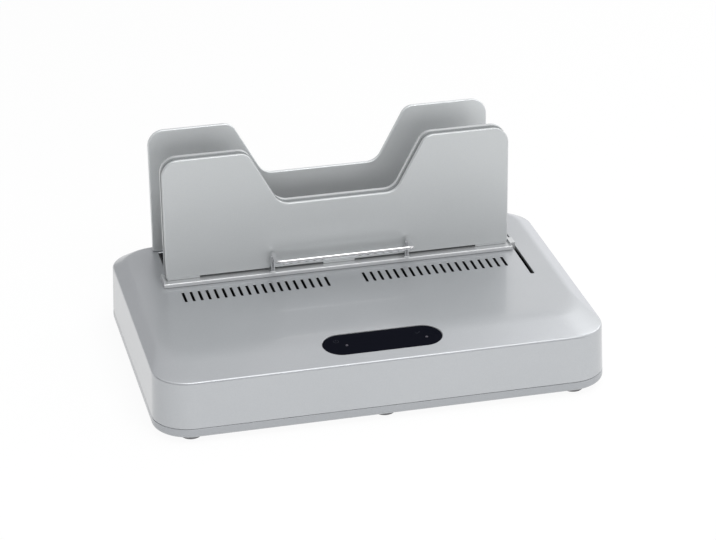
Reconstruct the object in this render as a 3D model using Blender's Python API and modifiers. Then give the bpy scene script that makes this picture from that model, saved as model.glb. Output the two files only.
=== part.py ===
"""Desktop thermal binding machine at rest, in metres: X to the user's right, -Y towards the user, Z up.

A silver housing of two mouldings holds a heated well for the spine of a cover. Two notched plates stand over
the well. The rear one is fixed, and the front one slides on a rod under a long slot in the deck.
"""

import math

import bmesh
import bpy
from mathutils import Matrix, Vector

# Housing, measured at the crisp rim between the walls and the sloping band of the deck.
PLATE_SIDE_MARGIN = 0.0397
REAR_DECK_DEPTH = 0.0187
HOUSING_CORNER_RADIUS = 0.0315
HOUSING_WALL = 0.0025
WALL_DRAFT = 0.0019
WALL_HEIGHT = 0.0513
PAN_DEPTH = 0.0084
PAN_EDGE_ROUND = 0.0034
RIM_ROUND = 0.0014
BAND_DROP = 0.0050
BAND_FRONT_WIDTH = 0.0455
BAND_SIDE_WIDTH = 0.0114
BAND_BACK_WIDTH = 0.0040
CREASE_CORNER_RADIUS = 0.0300
TONGUE_WALL = 0.0015
TONGUE_HEIGHT = 0.0030

# Clearances.
SEAT_GAP = 0.0003
SLIDE_GAP = 0.0004
LOOSE_GAP = 0.0010
CUT_MARGIN = 0.0020
JOIN_DEPTH = 0.0006
WELD_DISTANCE = 0.00002

# Feet.
FOOT_RADIUS = 0.0096
FOOT_HEIGHT = 0.0052
FOOT_ROUND = 0.0022
FOOT_DIMPLE_RADIUS = 0.0036
FOOT_DIMPLE_DEPTH = 0.0016
FOOT_SIDE_INSET = 0.0292
FOOT_END_INSET = 0.0150

# Notched plates.
PLATE_LENGTH = 0.3180
PLATE_THICKNESS = 0.0140
PLATE_TOP = 0.1193
PLATE_LIFT = 0.0056
PLATE_SHOULDER_RADIUS = 0.0150
PLATE_LOWER_RADIUS = 0.0016
PLATE_EDGE_ROUND = 0.0014
PLATE_WALL = 0.0022
NOTCH_FLOOR = 0.0674
NOTCH_TOP_WIDTH = 0.1629
NOTCH_FLOOR_WIDTH = 0.1065
NOTCH_TOP_RADIUS = 0.0125
NOTCH_FLOOR_RADIUS = 0.0150
PLATE_CENTRE_PAD_LENGTH = 0.0290
PLATE_END_PAD_LENGTH = 0.0290
PLATE_PAD_DEPTH = 0.0105
PLATE_PAD_SETBACK = 0.0006
LINER_THICKNESS = 0.0010
LINER_RECESS = 0.0004
RIB_WALL = 0.0016
RIB_SPACING = 0.0440
RIBS_PER_SIDE = 3
GROOVE_SETBACK = 0.0026
GROOVE_WIDTH = 0.0062
GROOVE_DEPTH = 0.0014
FRONT_PLATE_LEAD = 0.0087
REAR_PLATE_SETBACK = 0.0028
REAR_PLATE_THICKNESS = 0.0040
REAR_PLATE_EDGE_ROUND = 0.0010
CLOSED_OPENING = 0.0121

# Foot strips of the plates, the sliding one with its fin.
STRIP_THICKNESS = 0.0035
STRIP_REACH = 0.0068
STRIP_OVERHANG = 0.0030
STRIP_END_INSET = 0.0012
STRIP_ROUND = 0.0012
LIP_WALL = 0.0016
LIP_HEIGHT = 0.0024
LIP_SETBACK = 0.0022
FIN_WALL = 0.0026
FIN_DEPTH = 0.0120
FIN_REACH = 0.0203
FIN_SETBACK = 0.0010

# Long slot in the deck beside the plates.
GUIDE_SLOT_WIDTH = 0.0034
GUIDE_SLOT_OFFSET = 0.0064
PULLED_TRAVEL = 0.0600

# Wire bail.
BAIL_WIRE_RADIUS = 0.0020
BAIL_LENGTH = 0.1245
BAIL_REACH = 0.0237
BAIL_HEIGHT = 0.0232
BAIL_STANDOFF = 0.0039
BAIL_BEND_RADIUS = 0.0042
BAIL_CROWN_RADIUS = 0.0050
BAIL_SOCKET_DEPTH = 0.0022
BAIL_COLLAR_RADIUS = 0.0029
BAIL_COLLAR_HEIGHT = 0.0012

# Cooling slots in the deck.
VENT_WIDTH = 0.0021
VENT_LENGTH = 0.0202
VENT_PITCH = 0.007225
VENT_FIRST = 0.01754
VENT_LEAD = 0.0281
VENT_END_MARGIN = 0.0080

# Well, its liner and the heater under it.
WELL_END_MARGIN = 0.0044
WELL_DEPTH = 0.0626
WELL_SETBACK = 0.1934
WELL_CORNER_RADIUS = 0.0010
WELL_LINER_WALL = 0.0012
WELL_FLANGE_WIDTH = 0.0050
WELL_SINK = 0.0252
HEATER_PLATE_THICKNESS = 0.0050
HEATER_PLATE_MARGIN = 0.0008
ELEMENT_THICKNESS = 0.0022
ELEMENT_MARGIN = 0.0040
ELEMENT_LEG_WIDTH = 0.0120
ELEMENT_SLIT = 0.0030
INSULATION_THICKNESS = 0.0030
TRAY_WALL = 0.0012
TRAY_POST_RADIUS = 0.0045
TRAY_POST_INSET = 0.0220

# Start switch with the pin that a cover pushes down.
START_PIN_RADIUS = 0.0018
START_PIN_RISE = 0.0052
START_PIN_TRAVEL = 0.0040
START_PIN_INSET = 0.0130
START_PIN_ROUND = 0.0008
START_HOLE_GAP = 0.0005
START_BODY_LENGTH = 0.0198
START_BODY_DEPTH = 0.0102
START_BODY_HEIGHT = 0.0095
START_BODY_FLOOR = 0.0016

# Heat limiters under the tray.
THERMOSTAT_RADIUS = 0.0079
THERMOSTAT_HEIGHT = 0.0062
THERMOSTAT_CAP_RADIUS = 0.0060
THERMOSTAT_CAP_HEIGHT = 0.0024
THERMOSTAT_OFFSET = 0.0420
FUSE_RADIUS = 0.0022
FUSE_LENGTH = 0.0120
FUSE_LEG_RADIUS = 0.0007
FUSE_LEG_LENGTH = 0.0080
FUSE_OFFSET = 0.0860

# Guide rod under the slot, its brackets and the shoe.
ROD_RADIUS = 0.0030
ROD_DROP = 0.0275
ROD_END_REACH = 0.0020
BRACKET_WALL = 0.0060
BRACKET_WIDTH = 0.0180
BRACKET_FOOT_DEPTH = 0.0140
BRACKET_FOOT_WALL = 0.0030
SHOE_LENGTH = 0.0240
SHOE_WIDTH = 0.0160
SHOE_WALL = 0.0052
SHOE_CHAMFER = 0.0012
SHOE_RUN_GAP = 0.0020

# Control panel set in the front band.
LENS_LENGTH = 0.1050
LENS_WIDTH = 0.0372
LENS_SETBACK = 0.0287
LENS_OFFSET = 0.0015
LENS_SINK = 0.0006
LENS_FLANGE_WIDTH = 0.0018
LENS_FLANGE_DROP = 0.0009
LENS_FLANGE_THICKNESS = 0.0012
LENS_EDGE_ROUND = 0.0005
LIGHT_RADIUS = 0.0013
LIGHT_LENGTH = 0.0112
LIGHT_PROUD = 0.0002
LIGHT_LEFT_OFFSET = 0.0308
LIGHT_RIGHT_OFFSET = 0.0420
LIGHT_LEFT_DROP = 0.0030
LIGHT_RIGHT_RISE = 0.0010

# Circuit boards.
BOARD_WALL = 0.0016
CONTROL_BOARD_LENGTH = 0.1260
CONTROL_BOARD_DEPTH = 0.0370
CONTROL_BOARD_SETBACK = 0.0330
CONTROL_BOARD_DROP = 0.0135
CONTROL_CHIP_LENGTH = 0.0180
CONTROL_CHIP_DEPTH = 0.0100
CONTROL_CHIP_HEIGHT = 0.0024
CONTROL_POST_RADIUS = 0.0030
CONTROL_POST_INSET = 0.0045
CONTROL_LED_LENGTH = 0.0030
POWER_BOARD_LENGTH = 0.1100
POWER_BOARD_DEPTH = 0.0620
POWER_BOARD_SIDE_INSET = 0.0937
POWER_BOARD_LEAD = 0.1074
POWER_POST_RADIUS = 0.0035
POWER_POST_HEIGHT = 0.0060
POWER_POST_INSET = 0.0060
RELAY_LENGTH = 0.0200
RELAY_DEPTH = 0.0160
RELAY_HEIGHT = 0.0160
RELAY_EDGE_ROUND = 0.0006
CAPACITOR_RADIUS = 0.0065
CAPACITOR_HEIGHT = 0.0200
CAPACITOR_ROUND = 0.0012
HEAT_SINK_LENGTH = 0.0260
HEAT_SINK_DEPTH = 0.0140
HEAT_SINK_HEIGHT = 0.0240
HEAT_SINK_FIN_WALL = 0.0016
HEAT_SINK_BASE = 0.0030

# Mains inlet and rocker switch in the rear wall.
INLET_SIDE_INSET = 0.0687
INLET_LENGTH = 0.0274
INLET_HEIGHT = 0.0198
INLET_DEPTH = 0.0182
INLET_FLANGE_WIDTH = 0.0020
INLET_FLANGE_WALL = 0.0018
INLET_SOCKET_LENGTH = 0.0242
INLET_SOCKET_HEIGHT = 0.0166
INLET_SOCKET_DEPTH = 0.0148
INLET_SOCKET_CHAMFER = 0.0050
INLET_PIN_LENGTH = 0.0130
INLET_PIN_WIDTH = 0.0040
INLET_PIN_WALL = 0.0020
INLET_PIN_SPACING = 0.0070
INLET_EARTH_RISE = 0.0040
REAR_FITTING_HEIGHT = 0.0235
REAR_FITTING_SINK = 0.0004
SWITCH_SIDE_INSET = 0.1057
SWITCH_LENGTH = 0.0232
SWITCH_HEIGHT = 0.0160
SWITCH_DEPTH = 0.0160
SWITCH_WELL_LENGTH = 0.0200
SWITCH_WELL_HEIGHT = 0.0128
SWITCH_WELL_DEPTH = 0.0120
ROCKER_LENGTH = 0.0172
ROCKER_HEIGHT = 0.0120
ROCKER_CROWN = 0.0050
ROCKER_VALLEY = 0.0034
ROCKER_BELLY = 0.0030
ROCKER_BELLY_LENGTH = 0.0060
ROCKER_FLANK = 0.0008
ROCKER_PIVOT_SINK = 0.0062
ROCKER_TILT_DEGREES = 10.0

# Case screws and their bosses.
SCREW_HEAD_RADIUS = 0.0031
SCREW_HEAD_HEIGHT = 0.0022
SCREW_SHANK_RADIUS = 0.0015
SCREW_LENGTH = 0.0160
SCREW_SLOT_WIDTH = 0.0010
SCREW_SLOT_DEPTH = 0.0009
SCREW_SINK = 0.0030
BOSS_RADIUS = 0.0045
PAN_BOSS_RADIUS = 0.0056
SCREW_FRONT_SIDE_INSET = 0.0240
SCREW_REAR_SIDE_INSET = 0.0170
SCREW_REAR_INSET = 0.0290
SCREW_FRONT_INSET = 0.0310
SCREW_MIDDLE_END_INSET = 0.0540
SCREW_MIDDLE_INSET = 0.0118

# Slots in the floor of the pan.
FLOOR_SLOT_LENGTH = 0.0400
FLOOR_SLOT_WIDTH = 0.0030
FLOOR_SLOT_PITCH = 0.0080
FLOOR_SLOTS_PER_SIDE = 8
FLOOR_SLOT_OFFSET = 0.0340

# Leads.
LEAD_RADIUS = 0.0011
LEAD_BEND_RADIUS = 0.0050
LEAD_TURN_RADIUS = 0.0017
LEAD_LIFT = 0.0040
LEAD_CLIMB = 0.0060
LEAD_HOP = 0.0030
LEAD_LIVE_OFFSET = 0.0100
LEAD_START_OFFSET = 0.0060
LEAD_FEED_OFFSET = 0.0350

# Share of the way in over the sloping band, and share of the rise reached there.
BAND_SHARES = ((0.0, 0.0), (0.45, 0.49), (0.78, 0.83), (0.92, 0.955), (1.0, 1.0))
# Share of the wall above a post at which the post ends.
POST_ROOT_SHARE = 0.7
# Shares of a turned edge's radius, inwards and down, from its side to its flat.
ROUND_SHARES = ((0.0, 1.0), (0.29, 0.29), (1.0, 0.0))
# Share of the screw head's radius that is flat, and of its height that is straight.
HEAD_FLAT_SHARE = 0.65
HEAD_SIDE_SHARE = 0.45

CORNER_STEPS = 8
SMALL_STEPS = 2
PLATE_STEPS = 6
EDGE_SEGMENTS = 2
RIM_SEGMENTS = 3
WIRE_STEPS = 5
WIRE_RESOLUTION = 4
LEAD_RESOLUTION = 1
ROUND_SIDES = 24
FOOT_SIDES = 20
SMALL_SIDES = 12
SHARP_DEGREES = 30.0
EDGE_DEGREES = 50.0

# Sizes, places and levels derived from the sizes above.
HOUSING_LENGTH = PLATE_LENGTH + 2 * PLATE_SIDE_MARGIN
HOUSING_DEPTH = WELL_SETBACK + WELL_DEPTH + REAR_DECK_DEPTH
WELL_LENGTH = PLATE_LENGTH - 2 * WELL_END_MARGIN
PAN_UNDERSIDE = FOOT_HEIGHT
FLOOR = PAN_UNDERSIDE + HOUSING_WALL
PARTING = PAN_UNDERSIDE + PAN_DEPTH
RIM = PAN_UNDERSIDE + WALL_HEIGHT
DECK = RIM + BAND_DROP
CEILING = DECK - HOUSING_WALL
FRONT = -HOUSING_DEPTH / 2
REAR = HOUSING_DEPTH / 2
WELL_FRONT = FRONT + WELL_SETBACK
WELL_REAR = WELL_FRONT + WELL_DEPTH
FRONT_PLATE_FACE = WELL_FRONT - FRONT_PLATE_LEAD
FRONT_PLATE_REAR = FRONT_PLATE_FACE + PLATE_THICKNESS
REAR_PLATE_FACE = WELL_REAR + REAR_PLATE_SETBACK
REAR_PLATE_REAR = REAR_PLATE_FACE + REAR_PLATE_THICKNESS
CLOSING_TRAVEL = REAR_PLATE_FACE - FRONT_PLATE_REAR - CLOSED_OPENING
VENTS_PER_SIDE = 1 + int((PLATE_LENGTH / 2 - VENT_FIRST - VENT_END_MARGIN) / VENT_PITCH)
HEATER_TOP = DECK - WELL_SINK
HEATER_UNDERSIDE = HEATER_TOP - HEATER_PLATE_THICKNESS
ELEMENT_TOP = HEATER_UNDERSIDE - SEAT_GAP
ELEMENT_UNDERSIDE = ELEMENT_TOP - ELEMENT_THICKNESS
INSULATION_TOP = ELEMENT_UNDERSIDE - SEAT_GAP
INSULATION_UNDERSIDE = INSULATION_TOP - INSULATION_THICKNESS
TRAY_TOP = INSULATION_UNDERSIDE - SEAT_GAP
TRAY_UNDERSIDE = TRAY_TOP - TRAY_WALL
STRIP_TOP = DECK + SEAT_GAP + STRIP_THICKNESS
GUIDE_X = PLATE_LENGTH / 2 + GUIDE_SLOT_OFFSET
ROD_HEIGHT = DECK - ROD_DROP
START_PIN_X = -WELL_LENGTH / 2 + START_PIN_INSET
WELL_MIDDLE = (WELL_FRONT + WELL_REAR) / 2
FITTING_MIDDLE = PAN_UNDERSIDE + REAR_FITTING_HEIGHT
INLET_OFFSET = HOUSING_LENGTH / 2 - INLET_SIDE_INSET
SWITCH_OFFSET = HOUSING_LENGTH / 2 - SWITCH_SIDE_INSET
POWER_BOARD_OFFSET = HOUSING_LENGTH / 2 - POWER_BOARD_SIDE_INSET
POWER_BOARD_MIDDLE = WELL_FRONT - POWER_BOARD_LEAD
SCREW_MIDDLE_OFFSET = PLATE_LENGTH / 2 - SCREW_MIDDLE_END_INSET

# Colours of the plain materials, as red, green, blue, roughness and metallic.
FINISHES = {
    "silver_paint": (0.62, 0.64, 0.66, 0.35, 0.35),
    "steel": (0.60, 0.60, 0.61, 0.35, 1.0),
    "chrome": (0.85, 0.85, 0.86, 0.08, 1.0),
    "aluminium": (0.75, 0.75, 0.76, 0.30, 1.0),
    "rubber": (0.03, 0.03, 0.03, 0.80, 0.0),
    "black_plastic": (0.02, 0.02, 0.025, 0.30, 0.0),
    "lens": (0.01, 0.01, 0.02, 0.08, 0.0),
    "board": (0.02, 0.16, 0.06, 0.50, 0.0),
    "mica": (0.45, 0.35, 0.20, 0.60, 0.0),
    "felt": (0.75, 0.74, 0.70, 0.90, 0.0),
    "brass": (0.75, 0.60, 0.30, 0.30, 1.0),
    "light": (0.80, 0.30, 0.10, 0.20, 0.0),
    "lead": (0.60, 0.05, 0.04, 0.50, 0.0),
}


def start_scene():
    """Empty the scene and return the collections for the parts and for the cutters."""
    for obj in list(bpy.data.objects):
        bpy.data.objects.remove(obj)
    parts = bpy.data.collections.new("thermal_binding_machine")
    cutters = bpy.data.collections.new("cutters")
    cutters.hide_render = True
    for collection in (parts, cutters):
        bpy.context.scene.collection.children.link(collection)
    return parts, cutters


PARTS, CUTTERS = start_scene()


def finish(name):
    """Return the named material, making it on first use."""
    found = bpy.data.materials.get(name)
    if found:
        return found
    red, green, blue, roughness, metallic = FINISHES[name]
    made = bpy.data.materials.new(name)
    made.use_nodes = True
    shader = made.node_tree.nodes["Principled BSDF"]
    shader.inputs["Base Color"].default_value = (red, green, blue, 1.0)
    shader.inputs["Roughness"].default_value = roughness
    shader.inputs["Metallic"].default_value = metallic
    return made


def add_object(name, data, material=None):
    """Put a mesh or a curve in the scene: a part when it has a material, and otherwise a cutter."""
    obj = bpy.data.objects.new(name, data)
    if material is None:
        CUTTERS.objects.link(obj)
        obj.hide_render = True
        obj.display_type = "WIRE"
        return obj
    PARTS.objects.link(obj)
    if not data.materials:
        data.materials.append(finish(material))
    if obj.type == "MESH" and data.polygons:
        data.shade_smooth()
        data.set_sharp_from_angle(angle=math.radians(SHARP_DEGREES))
    return obj


class Solids:
    """Boxes and cylinders gathered in one mesh."""

    def __init__(self):
        self.shape = bmesh.new()

    def box(self, left, right, front, rear, low, high):
        """Add a box between six planes."""
        middle = Vector((left + right, front + rear, low + high)) / 2
        size = Vector((right - left, rear - front, high - low))
        bmesh.ops.create_cube(self.shape, size=1.0, matrix=Matrix.LocRotScale(middle, None, size))
        return self

    def cylinder(self, place, radius, low, high, sides):
        """Add a cylinder along the upright axis of a place, between two heights over it."""
        middle = place @ Matrix.Translation((0.0, 0.0, (low + high) / 2))
        bmesh.ops.create_cone(self.shape, cap_ends=True, segments=sides, radius1=radius, radius2=radius,
                              depth=high - low, matrix=middle)
        return self

    def post(self, x, y, radius, low, high, sides=SMALL_SIDES):
        """Add an upright cylinder."""
        return self.cylinder(Matrix.Translation((x, y, 0.0)), radius, low, high, sides)

    def rod(self, x, z, radius, front, rear, sides=ROUND_SIDES):
        """Add a cylinder that runs from front to rear."""
        place = Matrix.Translation((x, 0.0, z)) @ Matrix.Rotation(math.radians(-90), 4, "X")
        return self.cylinder(place, radius, front, rear, sides)

    def made(self, name, material=None):
        """Turn the gathered shapes into an object."""
        mesh = bpy.data.meshes.new(name)
        self.shape.to_mesh(mesh)
        self.shape.free()
        return add_object(name, mesh, material)


def loft(name, rings, caps, soft, material=None):
    """Skin a surface through rings of equal count, with some capped and some marked for rounding."""
    shape = bmesh.new()
    weight = shape.edges.layers.float.new("bevel_weight_edge")
    rows = [[shape.verts.new(point) for point in ring] for ring in rings]
    for lower, upper in zip(rows, rows[1:]):
        for here in range(len(lower)):
            shape.faces.new((lower[here - 1], lower[here], upper[here], upper[here - 1]))
    for index in caps:
        shape.faces.new(rows[index])
    for index in soft:
        for here in range(len(rows[index])):
            shape.edges.get((rows[index][here - 1], rows[index][here]))[weight] = 1.0
    bmesh.ops.recalc_face_normals(shape, faces=shape.faces)
    mesh = bpy.data.meshes.new(name)
    shape.to_mesh(mesh)
    shape.free()
    return add_object(name, mesh, material)


def weld_to_mesh(guide, name):
    """Turn a curve object into a mesh whose caps are joined to its sides."""
    bpy.context.view_layer.update()
    graph = bpy.context.evaluated_depsgraph_get()
    mesh = bpy.data.meshes.new_from_object(guide.evaluated_get(graph))
    mesh.name = name
    shape = bmesh.new()
    shape.from_mesh(mesh)
    bmesh.ops.remove_doubles(shape, verts=shape.verts, dist=WELD_DISTANCE)
    bmesh.ops.dissolve_limit(shape, angle_limit=math.radians(1), verts=shape.verts, edges=shape.edges)
    bmesh.ops.recalc_face_normals(shape, faces=shape.faces)
    shape.to_mesh(mesh)
    shape.free()
    return mesh


def sheet(name, outline, thickness, place, material=None):
    """Make a flat piece from a closed outline, half its thickness to each side of its plane."""
    curve = bpy.data.curves.new(f"{name}_outline", "CURVE")
    curve.dimensions = "2D"
    curve.fill_mode = "BOTH"
    curve.extrude = thickness / 2
    spline = curve.splines.new("POLY")
    spline.points.add(len(outline) - 1)
    for point, (u, v) in zip(spline.points, outline):
        point.co = (u, v, 0.0, 1.0)
    spline.use_cyclic_u = True
    guide = bpy.data.objects.new(f"{name}_outline", curve)
    CUTTERS.objects.link(guide)
    obj = add_object(name, weld_to_mesh(guide, name), material)
    obj.matrix_world = place
    bpy.data.objects.remove(guide)
    return obj


def level(low, high):
    """Return the place of a sheet that lies level between two heights."""
    return Matrix.Translation((0.0, 0.0, (low + high) / 2))


def slab(name, corners, low, high, steps, material=None):
    """Make a level plate with rounded corners between two heights."""
    return sheet(name, filleted(corners, steps), high - low, level(low, high), material)


def upright(name, outline, front, rear, material=None):
    """Make a plate whose (x, z) outline stands between two depths."""
    place = Matrix.Translation((0.0, (front + rear) / 2, 0.0)) @ Matrix.Rotation(math.radians(90), 4, "X")
    return sheet(name, outline, rear - front, place, material)


def rail(name, outline, left, right, material=None):
    """Make a bar whose (y, z) section runs from left to right."""
    turn = Matrix(((0, 0, 1, 0), (1, 0, 0, 0), (0, 1, 0, 0), (0, 0, 0, 1)))
    place = Matrix.Translation(((left + right) / 2, 0.0, 0.0)) @ turn
    return sheet(name, outline, right - left, place, material)


def turned(name, profile, place, sides, material=None):
    """Turn a profile of (radius, height) points about its own upright axis."""
    shape = bmesh.new()
    corners = [shape.verts.new((radius, 0.0, height)) for radius, height in profile]
    for upper, lower in zip(corners, corners[1:]):
        shape.edges.new((upper, lower))
    mesh = bpy.data.meshes.new(name)
    shape.to_mesh(mesh)
    shape.free()
    obj = add_object(name, mesh, material)
    obj.matrix_world = place
    screw = obj.modifiers.new("turn", "SCREW")
    screw.steps = sides
    screw.render_steps = sides
    screw.use_merge_vertices = True
    screw.merge_threshold = WELD_DISTANCE
    screw.use_smooth_shade = True
    return obj


def wire(name, points, radii, radius, resolution, steps, material):
    """Run a round wire through points, bending it at each with its own radius."""
    path = rounded_path(points, radii, steps)
    curve = bpy.data.curves.new(name, "CURVE")
    curve.dimensions = "3D"
    curve.bevel_depth = radius
    curve.bevel_resolution = resolution
    curve.use_fill_caps = True
    spline = curve.splines.new("POLY")
    spline.points.add(len(path) - 1)
    for point, place in zip(spline.points, path):
        point.co = (*place, 1.0)
    return add_object(name, curve, material)


def modify(obj, kind, others):
    """Cut each of the other objects from this one, or join it on."""
    for other in others:
        modifier = obj.modifiers.new(f"{kind.lower()}_{other.name}", "BOOLEAN")
        modifier.operation = kind
        modifier.solver = "EXACT"
        modifier.object = other
    return obj


def cut(obj, *others):
    """Cut each of the other objects from this one."""
    return modify(obj, "DIFFERENCE", others)


def join(obj, *others):
    """Join each of the other objects to this one."""
    return modify(obj, "UNION", others)


def round_edges(obj, width, segments, by_weight=False):
    """Round the marked edges, or else every edge sharper than a set angle."""
    modifier = obj.modifiers.new("round_edges", "BEVEL")
    modifier.width = width
    modifier.segments = segments
    modifier.limit_method = "WEIGHT" if by_weight else "ANGLE"
    modifier.angle_limit = math.radians(EDGE_DEGREES)
    return obj


def thicken(obj, wall):
    """Give an open surface its wall, on the inner side."""
    modifier = obj.modifiers.new("wall", "SOLIDIFY")
    modifier.thickness = wall
    modifier.offset = -1.0
    modifier.use_even_offset = True
    return obj


def repeat(obj, count, pitch):
    """Repeat a cutter along its length at a pitch."""
    modifier = obj.modifiers.new("row", "ARRAY")
    modifier.count = count
    modifier.use_relative_offset = False
    modifier.use_constant_offset = True
    modifier.constant_offset_displace = (pitch, 0.0, 0.0)
    return obj


def mirror(obj):
    """Mirror a cutter to the other side of the middle."""
    modifier = obj.modifiers.new("other_side", "MIRROR")
    modifier.merge_threshold = WELD_DISTANCE
    return obj


def carry(name, axis_point, pieces):
    """Parent moving pieces to an empty on their joint's axis."""
    empty = bpy.data.objects.new(name, None)
    PARTS.objects.link(empty)
    empty.location = axis_point
    for piece in pieces:
        piece.parent = empty
        piece.matrix_parent_inverse = Matrix.Translation(axis_point).inverted()


def filleted(corners, steps):
    """Return a closed outline with each (u, v, radius) corner rounded in the same number of steps."""
    outline = []
    for index, (u, v, radius) in enumerate(corners):
        if radius == 0:
            outline.append((u, v))
            continue
        here = Vector((u, v))
        inward = (here - Vector(corners[index - 1][:2])).normalized()
        outward = (Vector(corners[(index + 1) % len(corners)][:2]) - here).normalized()
        turn = math.atan2(inward.x * outward.y - inward.y * outward.x, inward.dot(outward))
        side = math.copysign(1.0, turn)
        start = here - inward * radius * math.tan(abs(turn) / 2)
        centre = start + Vector((-inward.y, inward.x)) * radius * side
        for step in range(steps + 1):
            outline.append(tuple(centre + Matrix.Rotation(turn * step / steps, 2) @ (start - centre)))
    return outline


def inset(corners, distance):
    """Move every edge of an anticlockwise outline inwards, keeping its rounded corners concentric."""
    edges = []
    for index, corner in enumerate(corners):
        here = Vector(corner[:2])
        along = (Vector(corners[(index + 1) % len(corners)][:2]) - here).normalized()
        edges.append((here + Vector((-along.y, along.x)) * distance, along))
    moved = []
    for index, corner in enumerate(corners):
        start, inward = edges[index - 1]
        end, outward = edges[index]
        turn = inward.x * outward.y - inward.y * outward.x
        across = end - start
        here = start + inward * (across.x * outward.y - across.y * outward.x) / turn
        radius = corner[2] and max(corner[2] - distance * math.copysign(1.0, turn), 0.0)
        moved.append((here.x, here.y, radius))
    return moved


def rectangle(left, right, low, high, radius):
    """Return the four corners of an upright rectangle, anticlockwise."""
    return [(left, low, radius), (right, low, radius), (right, high, radius), (left, high, radius)]


def slot_corners(x, y, length, width):
    """Return the corners of a round-ended slot that runs from front to rear."""
    end = width / 2 - WELD_DISTANCE
    return rectangle(x - width / 2, x + width / 2, y - length / 2, y + length / 2, end)


def rounded_path(points, radii, steps):
    """Return a path through points with each inner corner rounded to its own radius."""
    path = [Vector(points[0])]
    for index, radius in enumerate(radii, start=1):
        here = Vector(points[index])
        inward = (here - Vector(points[index - 1])).normalized()
        outward = (Vector(points[index + 1]) - here).normalized()
        turn = inward.angle(outward)
        start = here - inward * radius * math.tan(turn / 2)
        normal = (outward - inward * outward.dot(inward)).normalized()
        for step in range(steps + 1):
            angle = turn * step / steps
            path.append(start + inward * radius * math.sin(angle) + normal * radius * (1 - math.cos(angle)))
    path.append(Vector(points[-1]))
    return path


def rounded_end(radius, height, edge, rising):
    """Return (radius, height) points of a turned edge, from its side to its flat, or back when rising."""
    sign = -1 if rising else 1
    points = [(radius - edge * inward, height + sign * edge * down) for inward, down in ROUND_SHARES]
    return points[::-1] if rising else points


def ring_at(outline, height):
    """Lay an outline of (x, y) points at a height."""
    return [(x, y, height) for x, y in outline]


def housing_corners(growth):
    """Return the housing outline at the rim, moved outwards by a growth."""
    half = HOUSING_LENGTH / 2
    return inset(rectangle(-half, half, FRONT, REAR, HOUSING_CORNER_RADIUS), -growth)


def crease_corners():
    """Return the outline of the flat deck inside the sloping band."""
    side = HOUSING_LENGTH / 2 - BAND_SIDE_WIDTH
    return rectangle(-side, side, FRONT + BAND_FRONT_WIDTH, REAR - BAND_BACK_WIDTH, CREASE_CORNER_RADIUS)


def wall_growth(height):
    """Return how far the drafted wall stands out from the rim at a height."""
    return WALL_DRAFT * (RIM - height) / WALL_HEIGHT


def wall_ring(height, offset=0.0):
    """Return the housing wall's ring at a height, moved inwards by an offset."""
    return ring_at(filleted(housing_corners(wall_growth(height) - offset), CORNER_STEPS), height)


def band_height(depth):
    """Return the height of the front band at a depth, on the straight line from rim to crease."""
    share = (depth - FRONT) / BAND_FRONT_WIDTH
    return RIM + BAND_DROP * min(max(share, 0.0), 1.0)


def screw_places():
    """Return the (x, y) places of the six case screws."""
    front_side = HOUSING_LENGTH / 2 - SCREW_FRONT_SIDE_INSET
    rear_side = HOUSING_LENGTH / 2 - SCREW_REAR_SIDE_INSET
    rear = REAR - SCREW_REAR_INSET
    front = FRONT + SCREW_FRONT_INSET
    middle = FRONT + SCREW_MIDDLE_INSET
    corners = [(-rear_side, rear), (rear_side, rear), (-front_side, front), (front_side, front)]
    return corners + [(-SCREW_MIDDLE_OFFSET, middle), (SCREW_MIDDLE_OFFSET, middle)]


def vent_cutter():
    """Return the cutter for both rows of cooling slots."""
    slot = slot_corners(VENT_FIRST, FRONT_PLATE_FACE - VENT_LEAD, VENT_LENGTH, VENT_WIDTH)
    cutter = slab("vent_cutter", slot, CEILING - CUT_MARGIN, DECK + CUT_MARGIN, SMALL_STEPS)
    return mirror(repeat(cutter, VENTS_PER_SIDE, VENT_PITCH))


def lens_frame():
    """Return the matrix that lays a level shape on the middle of the sloping front band."""
    depth = FRONT + LENS_SETBACK
    tilt = math.atan2(BAND_DROP, BAND_FRONT_WIDTH)
    return Matrix.Translation((LENS_OFFSET, depth, band_height(depth))) @ Matrix.Rotation(tilt, 4, "X")


def lens_sheet(name, growth, low, high, material=None):
    """Make the panel's outline, grown sideways, between two heights over the band."""
    half_length = LENS_LENGTH / 2
    half_width = LENS_WIDTH / 2
    corners = rectangle(-half_length, half_length, -half_width, half_width, half_width - WELD_DISTANCE)
    outline = filleted(inset(corners, -growth), CORNER_STEPS)
    return sheet(name, outline, high - low, lens_frame() @ level(low, high), material)


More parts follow.
